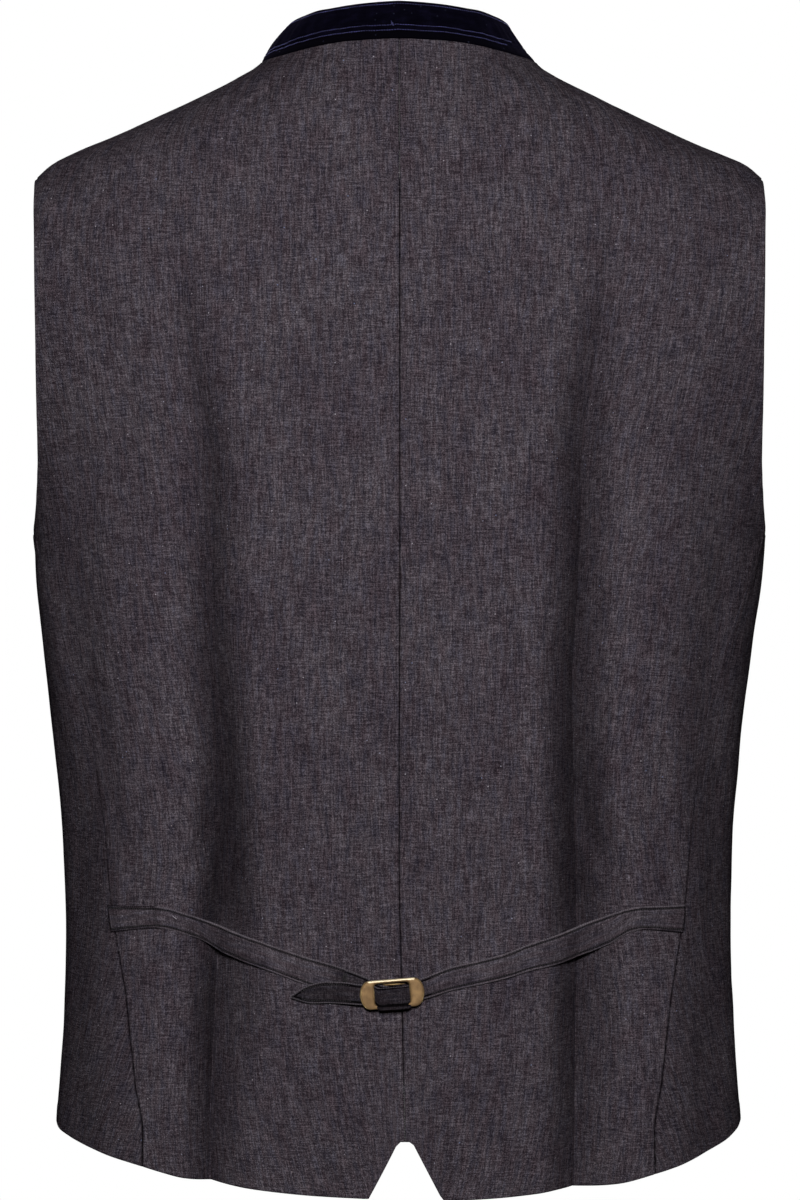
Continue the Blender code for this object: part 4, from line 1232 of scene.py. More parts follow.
def both_faces(values):
    """Values on a strap's outer face, carried round its inner one."""
    return np.concatenate([values, values[:, -2:0:-1]], axis=1)[:, ::-1]


def strap_mesh(name, path, place, half_height, shade):
    """A flat tube of cloth with rounded edges, sunk a little along its rows of stitches."""
    x = np.broadcast_to(path[:, :1], (len(path), len(STRAP_SHARES)))
    lift = np.broadcast_to(path[:, 1:], x.shape)
    share = np.broadcast_to(2 * STRAP_SHARES - 1, x.shape)
    middle = place(x, lift, share)
    normals = -unit(np.cross(np.gradient(middle, axis=1), np.gradient(middle, axis=0)))
    from_edge = (1 - np.abs(share)) * half_height[:, None]
    round_edge = rounded(from_edge, 0.0007)
    dip = 0.00050 * bell(from_edge - STRAP_STITCH_INSET, 0.00050)
    crown = 0.00012 * smooth_step(0.0015, 0.004, from_edge)
    along = run(middle[:, :1], 0)
    wave = 0.00010 * np.sin(along / 0.0031) * np.sin(share * 2.2 + along / 0.011)
    outer = middle + normals * ((STRAP_WALL / 2 * round_edge) + crown - dip + wave)[..., None]
    inner = middle - normals * ((STRAP_WALL / 2) * round_edge)[..., None]
    rings = np.concatenate([outer, inner[:, -2:0:-1]], axis=1)
    across = run(middle, 1)
    cloth_uv = stacked(np.broadcast_to(along, across.shape), across)
    mesh = ring_mesh(name, rings[:, ::-1], both_faces(cloth_uv))
    sewn_down = np.abs(x) > TACK_ACROSS
    is_right = name == "strap_right_cloth"
    crammed = (x > -0.0150) & (x < 0.0085) & (STRAP_SHARES < 0.5) & is_right
    highlit_end = (STRAP_SHARES > 0.5) & is_right
    # The painted rim highlight is kept off the sewn-down ends, save the right one's upper edge, and off the
    # cloth crammed into the window
    pale = np.where((sewn_down & ~highlit_end) | crammed, np.maximum(from_edge, 0.0010), from_edge)
    mark_points(mesh, "from_edge", both_faces(pale).ravel())
    # Painted shadow along the edges of the sewn-down ends, along the row of stitches on the right end's upper
    # edge, and across the tacks
    painted_edge_shadow = sewn_down * (1 - smooth_step(0.0004, 0.0010, from_edge))
    painted_edge_shadow = np.where(highlit_end, sewn_down * bell(from_edge - 0.0013, 0.0005), painted_edge_shadow)
    painted_edge_shadow = np.maximum(painted_edge_shadow, 0.85 * bell(np.abs(x) - TACK_ACROSS, 0.0006))
    mark_points(mesh, "sewn", both_faces(painted_edge_shadow).ravel())
    mark_points(mesh, "shade", both_faces(shade(x)).ravel())
    return mesh, outer, normals


def make_strap_left(belt_cloth, belt_thread):
    path = left_path()
    half_height = belt(LEFT_BELT, path[:, 0], "half_height")
    mesh, outer, normals = strap_mesh(
        "strap_left_cloth",
        path,
        lambda x, lift, share: belt_point(LEFT_BELT, x, lift, share),
        half_height,
        lambda x: mix(1.0, 0.50, smooth_step(-0.046, -0.024, x)),
    )
    piece = add_piece("strap_left_cloth", mesh, belt_cloth, ["strap_left"])
    flat = path[:, 0] < -0.018
    flat[LEFT_FLAT_STEPS:] = False
    add_edge_stitches("strap_left_stitches", outer[flat], normals[flat], half_height[flat], belt_thread)
    return piece


def make_strap_right(belt_cloth, belt_thread):
    path = right_path()
    half_height = belt(RIGHT_BELT, path[:, 0], "half_height")
    mesh, outer, normals = strap_mesh(
        "strap_right_cloth",
        path,
        right_belt_point,
        half_height,
        lambda x: mix(0.42, 1.0, smooth_step(0.004, 0.022, x)),
    )
    piece = add_piece("strap_right_cloth", mesh, belt_cloth, ["strap_right"])
    shown = path[:, 0] > 0.016
    add_edge_stitches("strap_right_stitches", outer[shown], normals[shown], half_height[shown], belt_thread)
    tail = path[:, 0] < -0.026
    tail[:6] = False
    add_edge_stitches("strap_tail_stitches", outer[tail], normals[tail], half_height[tail], belt_thread)
    return piece


def across_strap(rows, where):
    """Reads each row of a strap's values at a share of its height."""
    found = [[np.interp(w, STRAP_SHARES, row[:, k]) for k in range(3)] for w, row in zip(where, rows)]
    return np.array(found)


def add_edge_stitches(name, outer, normals, half_height, material):
    """Rows of stitches just inside both edges of a strap."""
    groups = []
    for edge in (-1, 1):
        where = (edge * (1 - STRAP_STITCH_INSET / half_height) + 1) / 2
        groups.append((across_strap(outer, where), unit(across_strap(normals, where))))
    joined_stitches(name, groups, EDGE_STITCH, material)


def belt_tack(name, table, x, lift, material):
    """A line of stitches across a strap."""
    share = np.linspace(-0.9, 0.9, 24)
    x = np.full_like(share, x)
    points = belt_point(table, x, np.full_like(share, lift), share)
    _, facing = back_surface(x, belt(table, x, "height"))
    joined_stitches(name, [(points, facing)], EDGE_STITCH, material)


BAR_TACK_HEIGHT = -0.4977
LOOSE_THREAD_PLACE = np.array([[-0.1165], [-0.4645]])


def make_belt_tacks(belt_thread, white_thread):
    outer_face = FLAT_LIFT + STRAP_WALL / 2 + 0.00006
    for name, table, x in (("tack_left", LEFT_BELT, -TACK_ACROSS), ("tack_right", RIGHT_BELT, TACK_ACROSS)):
        belt_tack(name, table, x, outer_face, belt_thread)
    bar = Thread(0.00055, 0.0026, 0.00040, 0.0001)
    share = np.linspace(-0.10, 0.62, 12)
    x = np.linspace(-0.0289, -0.0281, 12)
    lift = np.full_like(x, FLAT_LIFT + STRAP_WALL + LAYER_GAP + STRAP_WALL / 2 + 0.0001)
    points = belt_point(LEFT_BELT, x, lift, share)
    _, facing = back_surface(x, np.full_like(x, BAR_TACK_HEIGHT))
    middles, directions, facing = spaced(points, facing, bar.pitch, 0.1, 2)
    across = unit(np.cross(facing, directions))
    mesh = stitch_mesh("bar_tack", middles, across, facing, bar.length, bar.width, bar.bow)
    add_piece("bar_tack", mesh, belt_thread)
    point, out = back_surface(*LOOSE_THREAD_PLACE)
    middle = point + out * (outer_face + 0.0002)
    direction = unit(np.array([[1.0, 0.0, -0.8]]))
    mesh = stitch_mesh("loose_thread", middle, direction, out, 0.0030, 0.00035, 0.0003)
    add_piece("loose_thread", mesh, white_thread)


# Buckle

def buckle_matrix():
    """Local X runs along the belt, local Y up across it and local Z away from the back."""
    mean_lift = (FRAME_LIFT_LEFT + FRAME_LIFT_RIGHT) / 2
    point, out = back_surface(np.array(BUCKLE_CENTRE_X), np.array(BUCKLE_HEIGHT))
    length = FRAME_STRAIGHT + 2 * FRAME_END_REACH
    slope = math.asin((FRAME_LIFT_LEFT - FRAME_LIFT_RIGHT) / length)
    return (
        Matrix.Translation(Vector(point + out * mean_lift))
        @ Matrix.Rotation(math.pi / 2, 4, "X")
        @ Matrix.Rotation(BUCKLE_TILT, 4, "Z")
        @ Matrix.Rotation(slope, 4, "Y")
    )


def frame_outlines(angles):
    """The buckle's outer outline and its window, both by direction from the middle."""
    cos, sin = np.cos(angles), np.sin(angles)
    half_straight, half_width = FRAME_STRAIGHT / 2, FRAME_WIDTH / 2
    flat = half_width / np.maximum(np.abs(sin), 1e-9)
    a = (cos / FRAME_END_REACH) ** 2 + (sin / half_width) ** 2
    b = -2 * np.abs(cos) * half_straight / FRAME_END_REACH**2
    c = (half_straight / FRAME_END_REACH) ** 2 - 1
    curved = (-b + np.sqrt(np.maximum(b * b - 4 * a * c, 0.0))) / (2 * a)
    outer = np.where(flat * np.abs(cos) <= half_straight, flat, curved)
    power = 9.0
    window = (np.abs(cos) / (WINDOW_LENGTH / 2)) ** power + (np.abs(sin) / (WINDOW_WIDTH / 2)) ** power
    window = window ** (-1 / power)
    direction = stacked(cos, sin)
    return direction * outer[:, None], direction * window[:, None]


def make_buckle_frame(brass):
    """A stamped frame: thin rolled bars above and below the window, domed ends beside it."""
    angles = np.linspace(0.0, 2 * math.pi, 193)[:-1]
    outer, window = frame_outlines(angles)
    shares = np.array([0.0, 0.04, 0.12, 0.25, 0.4, 0.55, 0.7, 0.82, 0.92, 0.97, 1.0])
    plane = mix(window[:, None], outer[:, None], shares[None, :, None])
    wide = np.linalg.norm(outer - window, axis=-1)[:, None]
    from_edge = np.minimum(shares, 1 - shares)[None, :] * wide
    lip = rounded(from_edge, 0.0009)
    dome = 0.0003 * np.sin(math.pi * np.clip(shares[None, :], 0, 1)) * smooth_step(0.002, 0.006, wide)
    top = FRAME_WALL / 2 * (2 * lip - 1) + dome
    upper = np.concatenate([plane, top[..., None]], axis=-1)
    lower_z = np.full_like(top[:, 1:-1], -FRAME_WALL / 2)
    lower = np.concatenate([plane[:, 1:-1], lower_z[..., None]], axis=-1)[:, ::-1]
    rings = np.concatenate([upper, lower], axis=1)
    closed = np.concatenate([rings, rings[:1]], axis=0)
    mesh = ring_mesh("brass_frame", closed, closed[..., :2], capped=False)
    bm = bmesh.new()
    bm.from_mesh(mesh)
    bmesh.ops.remove_doubles(bm, verts=bm.verts, dist=1e-7)
    bmesh.ops.recalc_face_normals(bm, faces=bm.faces)
    bm.to_mesh(mesh)
    bm.free()
    # Painted highlight along the rounded top of the upper bar
    highlit_bar = [
        smooth_step(0.0065, 0.0070, y) * (z > -FRAME_WALL / 4) * (abs(x) < FRAME_STRAIGHT / 2 + 0.0006)
        for x, y, z in (v.co for v in mesh.vertices)
    ]
    mark_points(mesh, "bar_highlight", highlit_bar)
    mesh.transform(buckle_matrix())
    return add_piece("brass_frame", mesh, brass, ["buckle_frame"])


def tube_mesh(name, points, radii, around=14):
    """A round wire along points, with a radius at each."""
    points = np.asarray(points, float)
    along = unit(np.gradient(points, axis=0))
    side = unit(np.cross(along, np.array([0.0, 0.31, 0.95])))
    other = np.cross(along, side)
    angles = np.linspace(0, 2 * math.pi, around + 1)[:-1]
    radii = np.broadcast_to(np.asarray(radii, float), (len(points),))
    section = side[:, None] * np.cos(angles)[None, :, None] + other[:, None] * np.sin(angles)[None, :, None]
    rings = points[:, None] + section * radii[:, None, None]
    return ring_mesh(name, rings, rings[..., :2])


# Each tooth's place along the bar and how far it reaches
TEETH = ((-0.0030, 0.0078), (0.0004, 0.0078), (0.0047, 0.0112))


def make_tooth_bar(brass):
    """A bent wire whose middle lies in the fold of the left strap, and its three teeth."""
    local_x = BAR_X - BUCKLE_CENTRE_X
    leg = (WINDOW_WIDTH + FRAME_WIDTH) / 4
    length = FRAME_STRAIGHT + 2 * FRAME_END_REACH
    share = (local_x + length / 2) / length
    frame_lift = mix(FRAME_LIFT_LEFT, FRAME_LIFT_RIGHT, share)
    depth = BAR_LIFT - frame_lift
    top = -FRAME_WALL / 2
    bend = BAR_RADIUS * 1.2
    angles = np.linspace(0, math.pi / 2, 7)
    turn = [(local_x, leg - bend + bend * math.sin(a), depth + bend - bend * math.cos(a)) for a in angles]
    half = turn + [(local_x, leg, top)]
    points = [(x, -y, z) for x, y, z in reversed(half)] + half
    parts = [tube_mesh("bar", points, BAR_RADIUS)]
    for y, reach in TEETH:
        tooth = np.linspace(0.0, 1.0, 12)
        rise = mix(depth + 0.0006, top - 0.0002, tooth**0.8)
        line = stacked(mix(local_x, local_x + reach, tooth), y, rise)
        parts.append(tube_mesh("tooth", line, mix(0.0007, 0.00012, tooth**1.5), 10))
    bm = bmesh.new()
    for part in parts:
        bm.from_mesh(part)
        bpy.data.meshes.remove(part)
    mesh = bpy.data.meshes.new("brass_tooth_bar")
    bm.to_mesh(mesh)
    bm.free()
    mesh.shade_smooth()
    mesh.transform(buckle_matrix())
    return add_piece("brass_tooth_bar", mesh, brass, ["buckle_tooth_bar"])


# Buttons

def button_places():
    """Each button's matrix, as it sits on the left front over the centre line."""
    found = []
    for k in range(BUTTON_COUNT):
        height = mix(TOP_BUTTON_HEIGHT, LOW_BUTTON_HEIGHT, k / (BUTTON_COUNT - 1))
        step = 0.01
        above = cloth_point(1, np.array(2.0), np.array(height + step))
        below = cloth_point(1, np.array(2.0), np.array(height - step))
        upward = Vector(above - below).normalized()
        out = upward.cross(Vector((-1, 0, 0))).normalized()
        out = -out if out.y < 0 else out
        middle = Vector(cloth_point(1, np.array(2.0), np.array(height)))
        middle += out * (LAYER_GAP * 2 + BUTTON_WALL / 2)
        across = upward.cross(out).normalized()
        turned = Matrix((across, upward, out)).transposed().to_4x4()
        found.append(Matrix.Translation(middle) @ turned)
    return found


HOLE_RADIUS = 0.0010
HOLE_SPREAD = 0.0019


def turned_blank():
    """The button before its holes: raised rim, dished middle, rounded back."""
    profile = [(0.0, 0.00045), (0.0035, 0.00045), (0.0052, 0.00055), (0.0064, 0.00095), (0.0072, 0.00135)]
    profile += [(0.0080, 0.00150), (0.0089, 0.00142), (0.0096, 0.00100), (BUTTON_RADIUS, 0.0002)]
    profile += [(0.0099, -0.0006), (0.0092, -0.0012), (0.0080, -0.0015), (0.0, -0.0015)]
    angles = np.linspace(0, 2 * math.pi, 49)[:-1]
    bm = bmesh.new()
    rings = []
    for radius, z in profile:
        around = [(radius * math.cos(a), radius * math.sin(a), z) for a in angles] if radius else [(0, 0, z)]
        rings.append([bm.verts.new(point) for point in around])
    for near, far in zip(rings, rings[1:]):
        for k in range(max(len(near), len(far))):
            corners = [near[k % len(near)], far[k % len(far)]]
            corners += [far[(k + 1) % len(far)], near[(k + 1) % len(near)]]
            bm.faces.new(list(dict.fromkeys(corners)))
    bmesh.ops.recalc_face_normals(bm, faces=bm.faces)
    return helper_from(bm, "horn_blank")


def drill():
    """Four rods where the holes go."""
    bm = bmesh.new()
    size = dict(radius1=HOLE_RADIUS, radius2=HOLE_RADIUS, depth=0.01)
    for k in range(4):
        a = math.radians(45 + 90 * k)
        place = Matrix.Translation((HOLE_SPREAD * math.cos(a), HOLE_SPREAD * math.sin(a), 0))
        bmesh.ops.create_cone(bm, cap_ends=True, segments=20, matrix=place, **size)
    return helper_from(bm, "drill")


def helper_from(bm, name):
    mesh = bpy.data.meshes.new(name)
    bm.to_mesh(mesh)
    bm.free()
    helper = bpy.data.objects.new(name, mesh)
    bpy.context.scene.collection.objects.link(helper)
    return helper


def horn_button_mesh():
    body, rods = turned_blank(), drill()
    cut = body.modifiers.new("holes", "BOOLEAN")
    cut.operation = "DIFFERENCE"
    cut.solver = "EXACT"
    cut.object = rods
    graph = bpy.context.evaluated_depsgraph_get()
    drilled = bpy.data.meshes.new_from_object(body.evaluated_get(graph))
    for helper in (body, rods):
        bpy.data.objects.remove(helper)
    drilled.shade_smooth()
    drilled.set_sharp_from_angle(angle=math.radians(38))
    return drilled


def make_buttons(horn, button_thread):
    shape = horn_button_mesh()
    for number, place in enumerate(button_places(), 1):
        mesh = shape.copy()
        mesh.name = f"horn_button_{number}"
        mesh.transform(place)
        add_piece(f"horn_button_{number}", mesh, horn, [f"button_{number}"])
        pairs = [(sign, k) for sign in (-1, 1) for k in (-0.3, 0.0, 0.3)]
        places = [(sign * HOLE_SPREAD * 0.707 + k * 0.0012, 0.0006 - abs(k) * 0.0003) for sign, k in pairs]
        middles = np.array([(x, 0.0, z) for x, z in places])
        directions = np.tile([0.0, 1.0, 0.0], (len(middles), 1))
        facings = np.tile([0.0, 0.0, 1.0], (len(middles), 1))
        mesh = stitch_mesh(f"button_thread_{number}", middles, directions, facings, 0.0036, 0.00045, 0.00035)
        mesh.transform(place)
        add_piece(f"button_thread_{number}", mesh, button_thread)


# A buttonhole's slit, from the middle of its button
SLIT_START = -0.0175
SLIT_LENGTH = 0.0160
SLIT_STITCHES = 46


def make_buttonholes(button_thread):
    """A straight buttonhole beside each button on the left front: two rows of stitches along its slit."""
    found = []
    for place in button_places():
        turned = place.to_3x3()
        for k in range(SLIT_STITCHES):
            at = SLIT_START + SLIT_LENGTH * k / (SLIT_STITCHES - 1)
            for sign in (-1, 1):
                local = Vector((at, sign * 0.0009, -BUTTON_WALL / 2 - LAYER_GAP * 2 + 0.0001))
                found.append((place @ local, turned @ Vector((0, 1, 0)), turned @ Vector((0, 0, 1))))
    middles, directions, facings = (np.array(parts) for parts in zip(*found))
    mesh = stitch_mesh("buttonholes", middles, directions, facings, 0.0020, 0.00042, 0.00025)
    return add_piece("buttonholes", mesh, button_thread)


# Materials

def linear(hex_colour, alpha=1.0):
    """An sRGB hex value as linear light."""
    parts = [int(hex_colour[k : k + 2], 16) / 255 for k in (1, 3, 5)]
    return (*(c / 12.92 if c <= 0.04045 else ((c + 0.055) / 1.055) ** 2.4 for c in parts), alpha)


def feed(tree, made, inputs):
    """Sets a node's inputs. An input is a value, or the socket that feeds it."""
    for key, value in inputs.items():
        if isinstance(value, bpy.types.NodeSocket):
            tree.links.new(value, made.inputs[key])
        else:
            made.inputs[key].default_value = value


def node(tree, kind, inputs=None, **settings):
    made = tree.nodes.new(f"ShaderNode{kind}")
    for name, value in settings.items():
        setattr(made, name, value)
    feed(tree, made, inputs or {})
    return made


def calc(tree, operation, *values):
    return node(tree, "Math", dict(enumerate(values)), operation=operation).outputs[0]


def mapped(tree, value, start, end, low=0.0, high=1.0):
    """A value's way from start to end, as a value from low to high."""
    inputs = {"Value": value, "From Min": start, "From Max": end, "To Min": low, "To Max": high}
    return node(tree, "MapRange", inputs).outputs["Result"]


def blend(tree, share, under, over, how="MIX"):
    return node(tree, "Mix", {0: share, 6: under, 7: over}, data_type="RGBA", blend_type=how).outputs[2]


def stretched(tree, vector, scales):
    return node(tree, "VectorMath", {0: vector, 1: scales}, operation="MULTIPLY").outputs[0]


def noise(tree, vector, scale, detail, roughness=0.5, distortion=0.0):
    inputs = {"Vector": vector, "Scale": scale, "Detail": detail}
    inputs |= {"Roughness": roughness, "Distortion": distortion}
    return node(tree, "TexNoise", inputs).outputs["Fac"]


def attribute(tree, name):
    return node(tree, "Attribute", attribute_name=name).outputs["Fac"]


def bumped(tree, height, strength, distance):
    inputs = {"Strength": strength, "Distance": distance, "Height": height}
    return node(tree, "Bump", inputs).outputs["Normal"]


def blank_material(name):
    material = bpy.data.materials.new(name)
    material.use_nodes = True
    tree = material.node_tree
    return material, tree, tree.nodes["Principled BSDF"]


def ramp(tree, factor, stops):
    """Colours along a value, as pairs of place and hex."""
    made = node(tree, "ValToRGB", {"Fac": factor})
    marks = made.color_ramp.elements
    while len(marks) < len(stops):
        marks.new(0.5)
    for mark, (place, colour) in zip(marks, stops):
        mark.position = place
        mark.color = linear(colour)
    return made.outputs["Color"]


def specks(tree, uv, spacing, core, rim, rarity):
    """Small round specks in the few cells that chance picks, and a chance value for each cell."""
    place = stretched(tree, uv, (1 / spacing, 1 / spacing, 1.0))
    cells = node(tree, "TexVoronoi", {"Vector": place, "Scale": 1.0}, voronoi_dimensions="2D")
    near = mapped(tree, cells.outputs["Distance"], core, rim, 1.0, 0.0)
    pick = node(tree, "SeparateColor", {"Color": cells.outputs["Color"]})
    rare = calc(tree, "GREATER_THAN", pick.outputs["Red"], rarity)
    return calc(tree, "MULTIPLY", near, rare), pick.outputs["Green"]


def streaks(tree, cloth, wide, long, offset, detail, run_along="warp"):
    """Noise in streaks along the warp or the weft: wide and long are in metres."""
    across, along = cloth if run_along == "warp" else cloth[::-1]
    a = calc(tree, "MULTIPLY", across, 1 / wide)
    b = calc(tree, "MULTIPLY", along, 1 / long)
    place = node(tree, "CombineXYZ", {"X": a, "Y": b, "Z": offset}).outputs[0]
    return noise(tree, place, 1.0, detail, 0.6)


def melange_face(tree, uv, cloth):
    """The melange's colour, and the mixed and the spread value of its threads."""
    warp = streaks(tree, cloth, 0.0007, 0.0090, 1.7, 1.0)
    weft = streaks(tree, cloth, 0.0007, 0.0075, 8.2, 1.0, "weft")
    grain = streaks(tree, cloth, 0.0006, 0.0006, 4.4, 1.0)
    slub = streaks(tree, cloth, 0.0016, 0.0300, 11.0, 1.0)
    threads = calc(tree, "ADD", warp, weft)
    mixed = calc(tree, "MULTIPLY_ADD", grain, 1.80, threads)
    mixed = calc(tree, "MULTIPLY_ADD", slub, 0.35, mixed)
    value = mapped(tree, mixed, 1.60, 2.55)
    stops = [(0.0, "#292429"), (0.30, "#393339"), (0.50, "#464045"), (0.70, "#544E54"), (1.0, "#6C656C")]
    colour = ramp(tree, value, stops)
    warmth = streaks(tree, cloth, 0.0030, 0.0160, 21.0, 2.0)
    tones = ramp(tree, warmth, [(0.36, "#E2D2D2"), (0.5, "#FFFFFF"), (0.64, "#D2DCEC")])
    colour = blend(tree, 0.55, colour, tones, "MULTIPLY")
    patches = streaks(tree, cloth, 0.030, 0.060, 31.0, 2.0)
    wear = ramp(tree, patches, [(0.35, "#E6E2E6"), (0.65, "#FFFFFF")])
    colour = blend(tree, 1.0, colour, wear, "MULTIPLY")
    # Neps: knots of pale or blue fibre, about 0.6 mm, about one to each 8 square centimetres
    nep, chance = specks(tree, uv, 0.0034, 0.04, 0.12, 0.986)
    nep_colour = ramp(tree, chance, [(0.3, "#A8A2AA"), (0.55, "#6E7CA0"), (0.8, "#8C8286")])
    return blend(tree, nep, colour, nep_colour), mixed, value


def paint_seam_shadow(tree, colour, cloth):
    """Painted shadow along the panels' seams: a dark line, broken here and there, that stands for the shade
    in the seam.
    """
    broken = mapped(tree, streaks(tree, cloth, 0.004, 0.004, 41.0, 1.0), 0.35, 0.55, 0.55)
    shadow_mask = calc(tree, "MULTIPLY", attribute(tree, "seam_shadow_share"), broken)
    return blend(tree, shadow_mask, colour, linear("#120E11"))


def painted_edge_light(tree, colour, along_belt):
    """Painted light and shade on a strap's folded edges: a painted highlight on the rim outside its row of
    stitches, painted shade along that row, and painted shadow along the edges of the sewn-down ends and
    across the tacks.
    """
    colour = blend(tree, 0.12, colour, linear("#4C464B"))
    edge = attribute(tree, "from_edge")
    # Painted shade along the row of stitches, in the dip it lies in
    stops = [(0.32, "#FFFFFF"), (0.42, "#626262"), (0.60, "#626262"), (0.74, "#FFFFFF")]
    groove = ramp(tree, mapped(tree, edge, 0.0, 0.0030), stops)
    colour = blend(tree, 1.0, colour, groove, "MULTIPLY")
    shade = attribute(tree, "shade")
    colour = node(tree, "VectorMath", {0: colour, "Scale": shade}, operation="SCALE").outputs[0]
    # Painted highlight on the rim outside the row of stitches, in a pale grey
    rim = mapped(tree, edge, 0.0003, 0.0008, 0.48, 0.0)
    # Each stitch draws the rim in, so that the painted highlight shows as a row of short swellings
    wave = calc(tree, "SINE", calc(tree, "MULTIPLY", along_belt, 2 * math.pi / EDGE_STITCH.pitch))
    swells = mapped(tree, wave, -0.6, 0.4, 0.35)
    colour = blend(tree, calc(tree, "MULTIPLY", rim, swells), colour, linear("#7E787E"))
    # Painted shadow along the edges of the sewn-down ends and across the tacks, in near black
    dark = calc(tree, "MULTIPLY", attribute(tree, "sewn"), swells)
    return blend(tree, dark, colour, linear("#171316"))


def wool_melange(name, along_v, depth=1.0, folded_edge=False):
    """Wool melange, plain woven from yarn spun of dark, mid and pale fibres.

    The mixed fibres give short uneven streaks along the warp and the weft, 0.7 mm wide, which show as
    soft broken lines on a matt face, and a few pale neps.
    """
    material, tree, shader = blank_material(name)
    uv = node(tree, "UVMap", uv_map="cloth").outputs["UV"]
    parts = node(tree, "SeparateXYZ", {"Vector": uv}).outputs
    cloth = (parts["X"], parts["Y"]) if along_v else (parts["Y"], parts["X"])
    colour, mixed, value = melange_face(tree, uv, cloth)
    # Painted shadow along the panels' seams, or painted light and shade on a strap's folded edges
    colour = painted_edge_light(tree, colour, parts["X"]) if folded_edge else paint_seam_shadow(tree, colour, cloth)
    feed(tree, shader, {
        "Base Color": colour,
        "Roughness": mapped(tree, value, 0.0, 1.0, 0.95, 0.82),
        "Normal": bumped(tree, mixed, 0.55 * depth, 0.00022),
        "Diffuse Roughness": 0.0,
        "Specular IOR Level": 0.0,
    })
    return material


def cotton_velvet():
    """Cotton velvet, cut pile, dyed navy black.

    The pile drinks light face on and glows a little at the edge of a curve. Its nap lies unevenly in
    patches, and a few specks of lint sit on it.
    """
    material, tree, shader = blank_material("navy_velvet_pile")
    uv = node(tree, "UVMap", uv_map="cloth").outputs["UV"]
    pile = noise(tree, stretched(tree, uv, (1 / 0.0007, 1 / 0.0007, 1.0)), 1.0, 3.0, 0.7)
    nap = noise(tree, stretched(tree, uv, (1 / 0.009, 1 / 0.005, 1.0)), 1.0, 3.0, 0.55)
    both = calc(tree, "ADD", pile, nap)
    value = mapped(tree, both, 0.65, 1.4)
    colour = ramp(tree, value, [(0.0, "#030208"), (0.5, "#07060F"), (1.0, "#110F20")])
    # The strip under the twin rows is pressed flat and looks a blacker purple
    height = node(tree, "SeparateXYZ", {"Vector": uv}).outputs["Y"]
    pressed = mapped(tree, height, 0.0046, 0.0054, 1.0, 0.0)
    colour = blend(tree, pressed, colour, linear("#06050A"))
    lint, _ = specks(tree, uv, 0.0052, 0.03, 0.08, 0.86)
    feed(tree, shader, {
        "Base Color": blend(tree, lint, colour, linear("#343648")),
        "Normal": bumped(tree, both, 0.6, 0.0003),
        "Roughness": 0.95,
        "Diffuse Roughness": 0.5,
        "Specular IOR Level": 0.0,
        "Sheen Weight": 0.025,
        "Sheen Roughness": 0.45,
        "Sheen Tint": linear("#8C86B0"),
    })
    return material


def sewing_thread(name, dark, light, sheen):
    """Polyester sewing thread, two plies twisted: small slanting light and dark, and a silky edge."""
    material, tree, shader = blank_material(name)
    place = node(tree, "TexCoord").outputs["Object"]
    plies = noise(tree, place, 2600.0, 2.0)
    broad = noise(tree, place, 160.0, 1.0)
    value = mapped(tree, calc(tree, "MULTIPLY_ADD", plies, 0.5, broad), 0.5, 1.0)
    feed(tree, shader, {
        "Base Color": ramp(tree, value, [(0.0, dark), (1.0, light)]),
        "Normal": bumped(tree, plies, 0.4, 0.00006),
        "Roughness": 0.6,
        "Specular IOR Level": 0.12,
        "Sheen Weight": sheen,
    })
    return material


def antique_brass():
    """Stamped brass with an antique finish: brown in its hollows, worn pale along its raised edges, and a
    painted highlight along the frame's upper bar.
    """
    material, tree, shader = blank_material("antique_brass_finish")
    place = node(tree, "TexCoord").outputs["Object"]
    mottled = noise(tree, place, 220.0, 3.0, 0.6)
    worn = mapped(tree, node(tree, "NewGeometry").outputs["Pointiness"], 0.49, 0.56)
    value = calc(tree, "MULTIPLY_ADD", worn, 0.45, mottled)
    colour = ramp(tree, value, [(0.32, "#554430"), (0.55, "#5D4A34"), (0.85, "#69543A"), (1.0, "#8F7A55")])
    feed(tree, shader, {
        # Painted highlight: the upper bar's rounded top in a pale cream
        "Base Color": blend(tree, attribute(tree, "bar_highlight"), colour, linear("#CDBFA2")),
        "Roughness": mapped(tree, mottled, 0.3, 0.7, 0.66, 0.54),
        "Normal": bumped(tree, noise(tree, place, 2400.0, 2.0), 0.12, 0.0001),
        "Metallic": 1.0,
    })
    return material


def polished_horn():
    """Horn, turned and polished: brown-black, with paler streaks along the fibre, under a low gloss."""
    material, tree, shader = blank_material("polished_horn")
    place = node(tree, "TexCoord").outputs["Object"]
    fibre = noise(tree, stretched(tree, place, (90.0, 300.0, 520.0)), 1.0, 4.0, 0.5, 0.7)
    stops = [(0.3, "#15100E"), (0.52, "#2B211C"), (0.68, "#4A392E"), (0.8, "#7A6450")]
    feed(tree, shader, {
        "Base Color": ramp(tree, fibre, stops),
        "Normal": bumped(tree, noise(tree, place, 1500.0, 2.0), 0.08, 0.0001),
        "Roughness": 0.32,
        "IOR": 1.54,
        "Specular IOR Level": 0.25,
    })
    return material


# Light, floor and camera

def paper_white(name):
    """Paper that shows its full white whatever light falls on it."""
    material = bpy.data.materials.new(name)
    material.use_nodes = True
    tree = material.node_tree
    tree.nodes.clear()
    glow = node(tree, "Emission", {"Color": linear("#FFFFFF"), "Strength": 1.0})
    end = node(tree, "OutputMaterial")
    tree.links.new(glow.outputs[0], end.inputs["Surface"])
    return material


FLOOR_RADIUS = 9.0
FLOOR_HEIGHT = -0.668


def add_floor():
    place = (0, 0, FLOOR_HEIGHT)
    bpy.ops.mesh.primitive_circle_add(vertices=96, radius=FLOOR_RADIUS, fill_type="NGON", location=place)
    floor = bpy.context.object
    floor.name = "paper_floor"
    floor.data.materials.append(paper_white("floor_paper"))
    floor.visible_diffuse = False
    floor.visible_glossy = False
    floor.visible_shadow = False


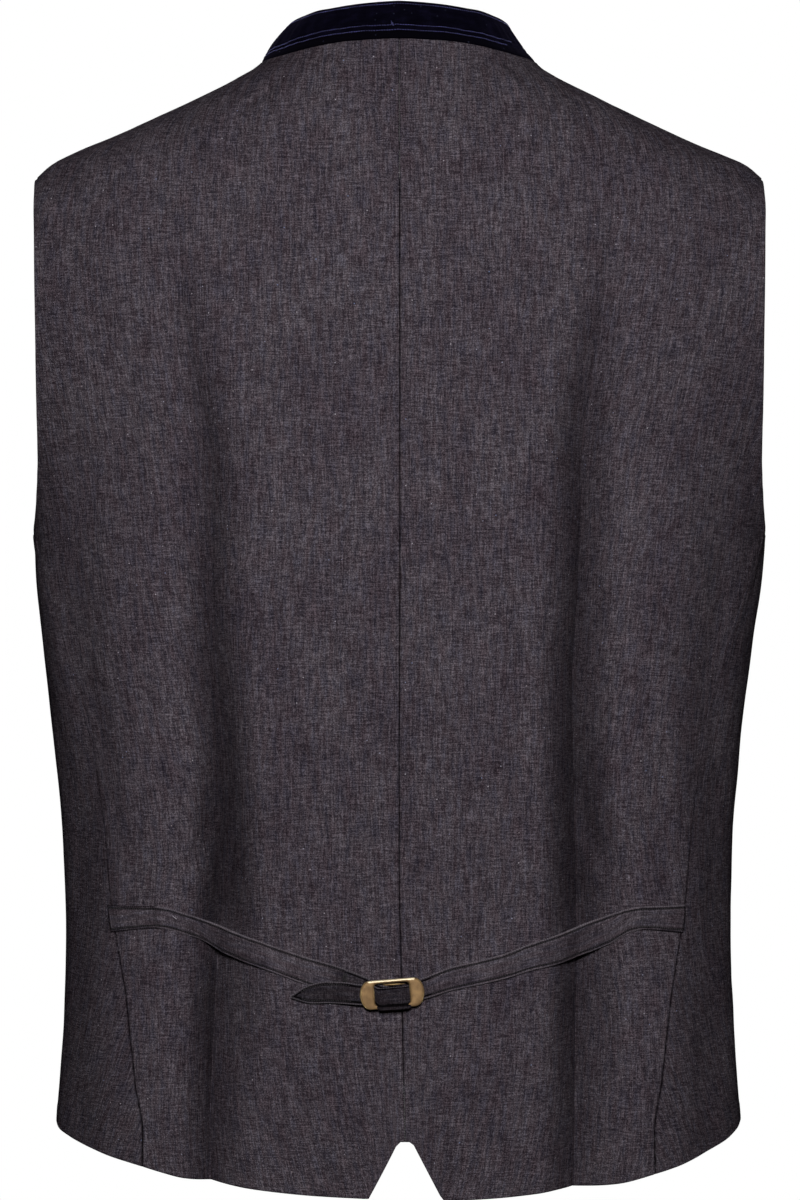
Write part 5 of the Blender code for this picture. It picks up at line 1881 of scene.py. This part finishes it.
def soft_light(name, place, target, size, watts, colour="#FFFFFF"):
    data = bpy.data.lights.new(name, "AREA")
    data.shape = "RECTANGLE"
    data.size, data.size_y = size
    data.energy = watts
    data.color = linear(colour)[:3]
    lamp = bpy.data.objects.new(name, data)
    bpy.context.scene.collection.objects.link(lamp)
    lamp.location = place
    lamp.rotation_euler = (Vector(target) - Vector(place)).to_track_quat("-Z", "Y").to_euler()
    lamp.visible_camera = False
    return lamp


def light_the_studio():
    scene = bpy.context.scene
    scene.view_settings.view_transform = "Standard"
    world = bpy.data.worlds.new("white_room")
    world.use_nodes = True
    world.node_tree.nodes["Background"].inputs["Color"].default_value = linear("#FFFFFF")
    world.node_tree.nodes["Background"].inputs["Strength"].default_value = 1.0
    world.cycles_visibility.diffuse = False
    world.cycles_visibility.transmission = False
    scene.world = world
    middle = (0.0, 0.0, -0.30)
    key = soft_light("back_key", (0.0, -3.5, 0.50), (0.0, 0.0, -0.21), (0.8, 0.6), 8.5)
    key.data.spread = math.radians(46)
    soft_light("front_key", (0.0, 3.6, 0.9), middle, (1.2, 1.0), 100.0)
    soft_light("left_side", (-3.4, 0.6, 0.3), middle, (1.2, 1.6), 1.5)
    soft_light("right_side", (3.4, 0.6, 0.3), middle, (1.2, 1.6), 1.5)
    soft_light("overhead", (0.0, 0.2, 2.8), middle, (1.2, 1.2), 8.0)


CAMERA_LENS_MM = 170.2
SENSOR_WIDTH_MM = 36.0
CAMERA_PLACE = (0.0004, -3.12, -0.295)


def place_camera():
    data = bpy.data.cameras.new("camera")
    data.lens = CAMERA_LENS_MM
    data.sensor_width = SENSOR_WIDTH_MM
    camera = bpy.data.objects.new("camera", data)
    bpy.context.scene.collection.objects.link(camera)
    camera.location = CAMERA_PLACE
    camera.rotation_euler = (math.pi / 2, 0.0, 0.0)
    bpy.context.scene.camera = camera


def dress():
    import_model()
    wool = wool_melange("wool_melange_cloth", True)
    belt_wool = wool_melange("wool_melange_belt", False, 0.7, True)
    velvet = cotton_velvet()
    blue_thread = sewing_thread("blue_topstitch_thread", "#22213F", "#4A4A7C", 0.05)
    belt_thread = sewing_thread("belt_thread", "#141114", "#2C282C", 0.1)
    white_thread = sewing_thread("white_thread", "#8C888E", "#C4C0C8", 0.1)
    black_thread = sewing_thread("button_thread", "#1C191C", "#3B363C", 0.2)
    brass = antique_brass()
    horn = polished_horn()
    for side, word in ((-1, "left"), (1, "right")):
        back = make_back(side, word, wool)
        front = make_front(side, word, wool)
    collar = make_collar(velvet)
    make_collar_stitches(blue_thread)
    strap_left = make_strap_left(belt_wool, belt_thread)
    strap_right = make_strap_right(belt_wool, belt_thread)
    make_belt_tacks(belt_thread, white_thread)
    make_buckle_frame(brass)
    make_tooth_bar(brass)
    make_buttons(horn, black_thread)
    make_buttonholes(black_thread)
    add_floor()
    light_the_studio()
    place_camera()


dress()
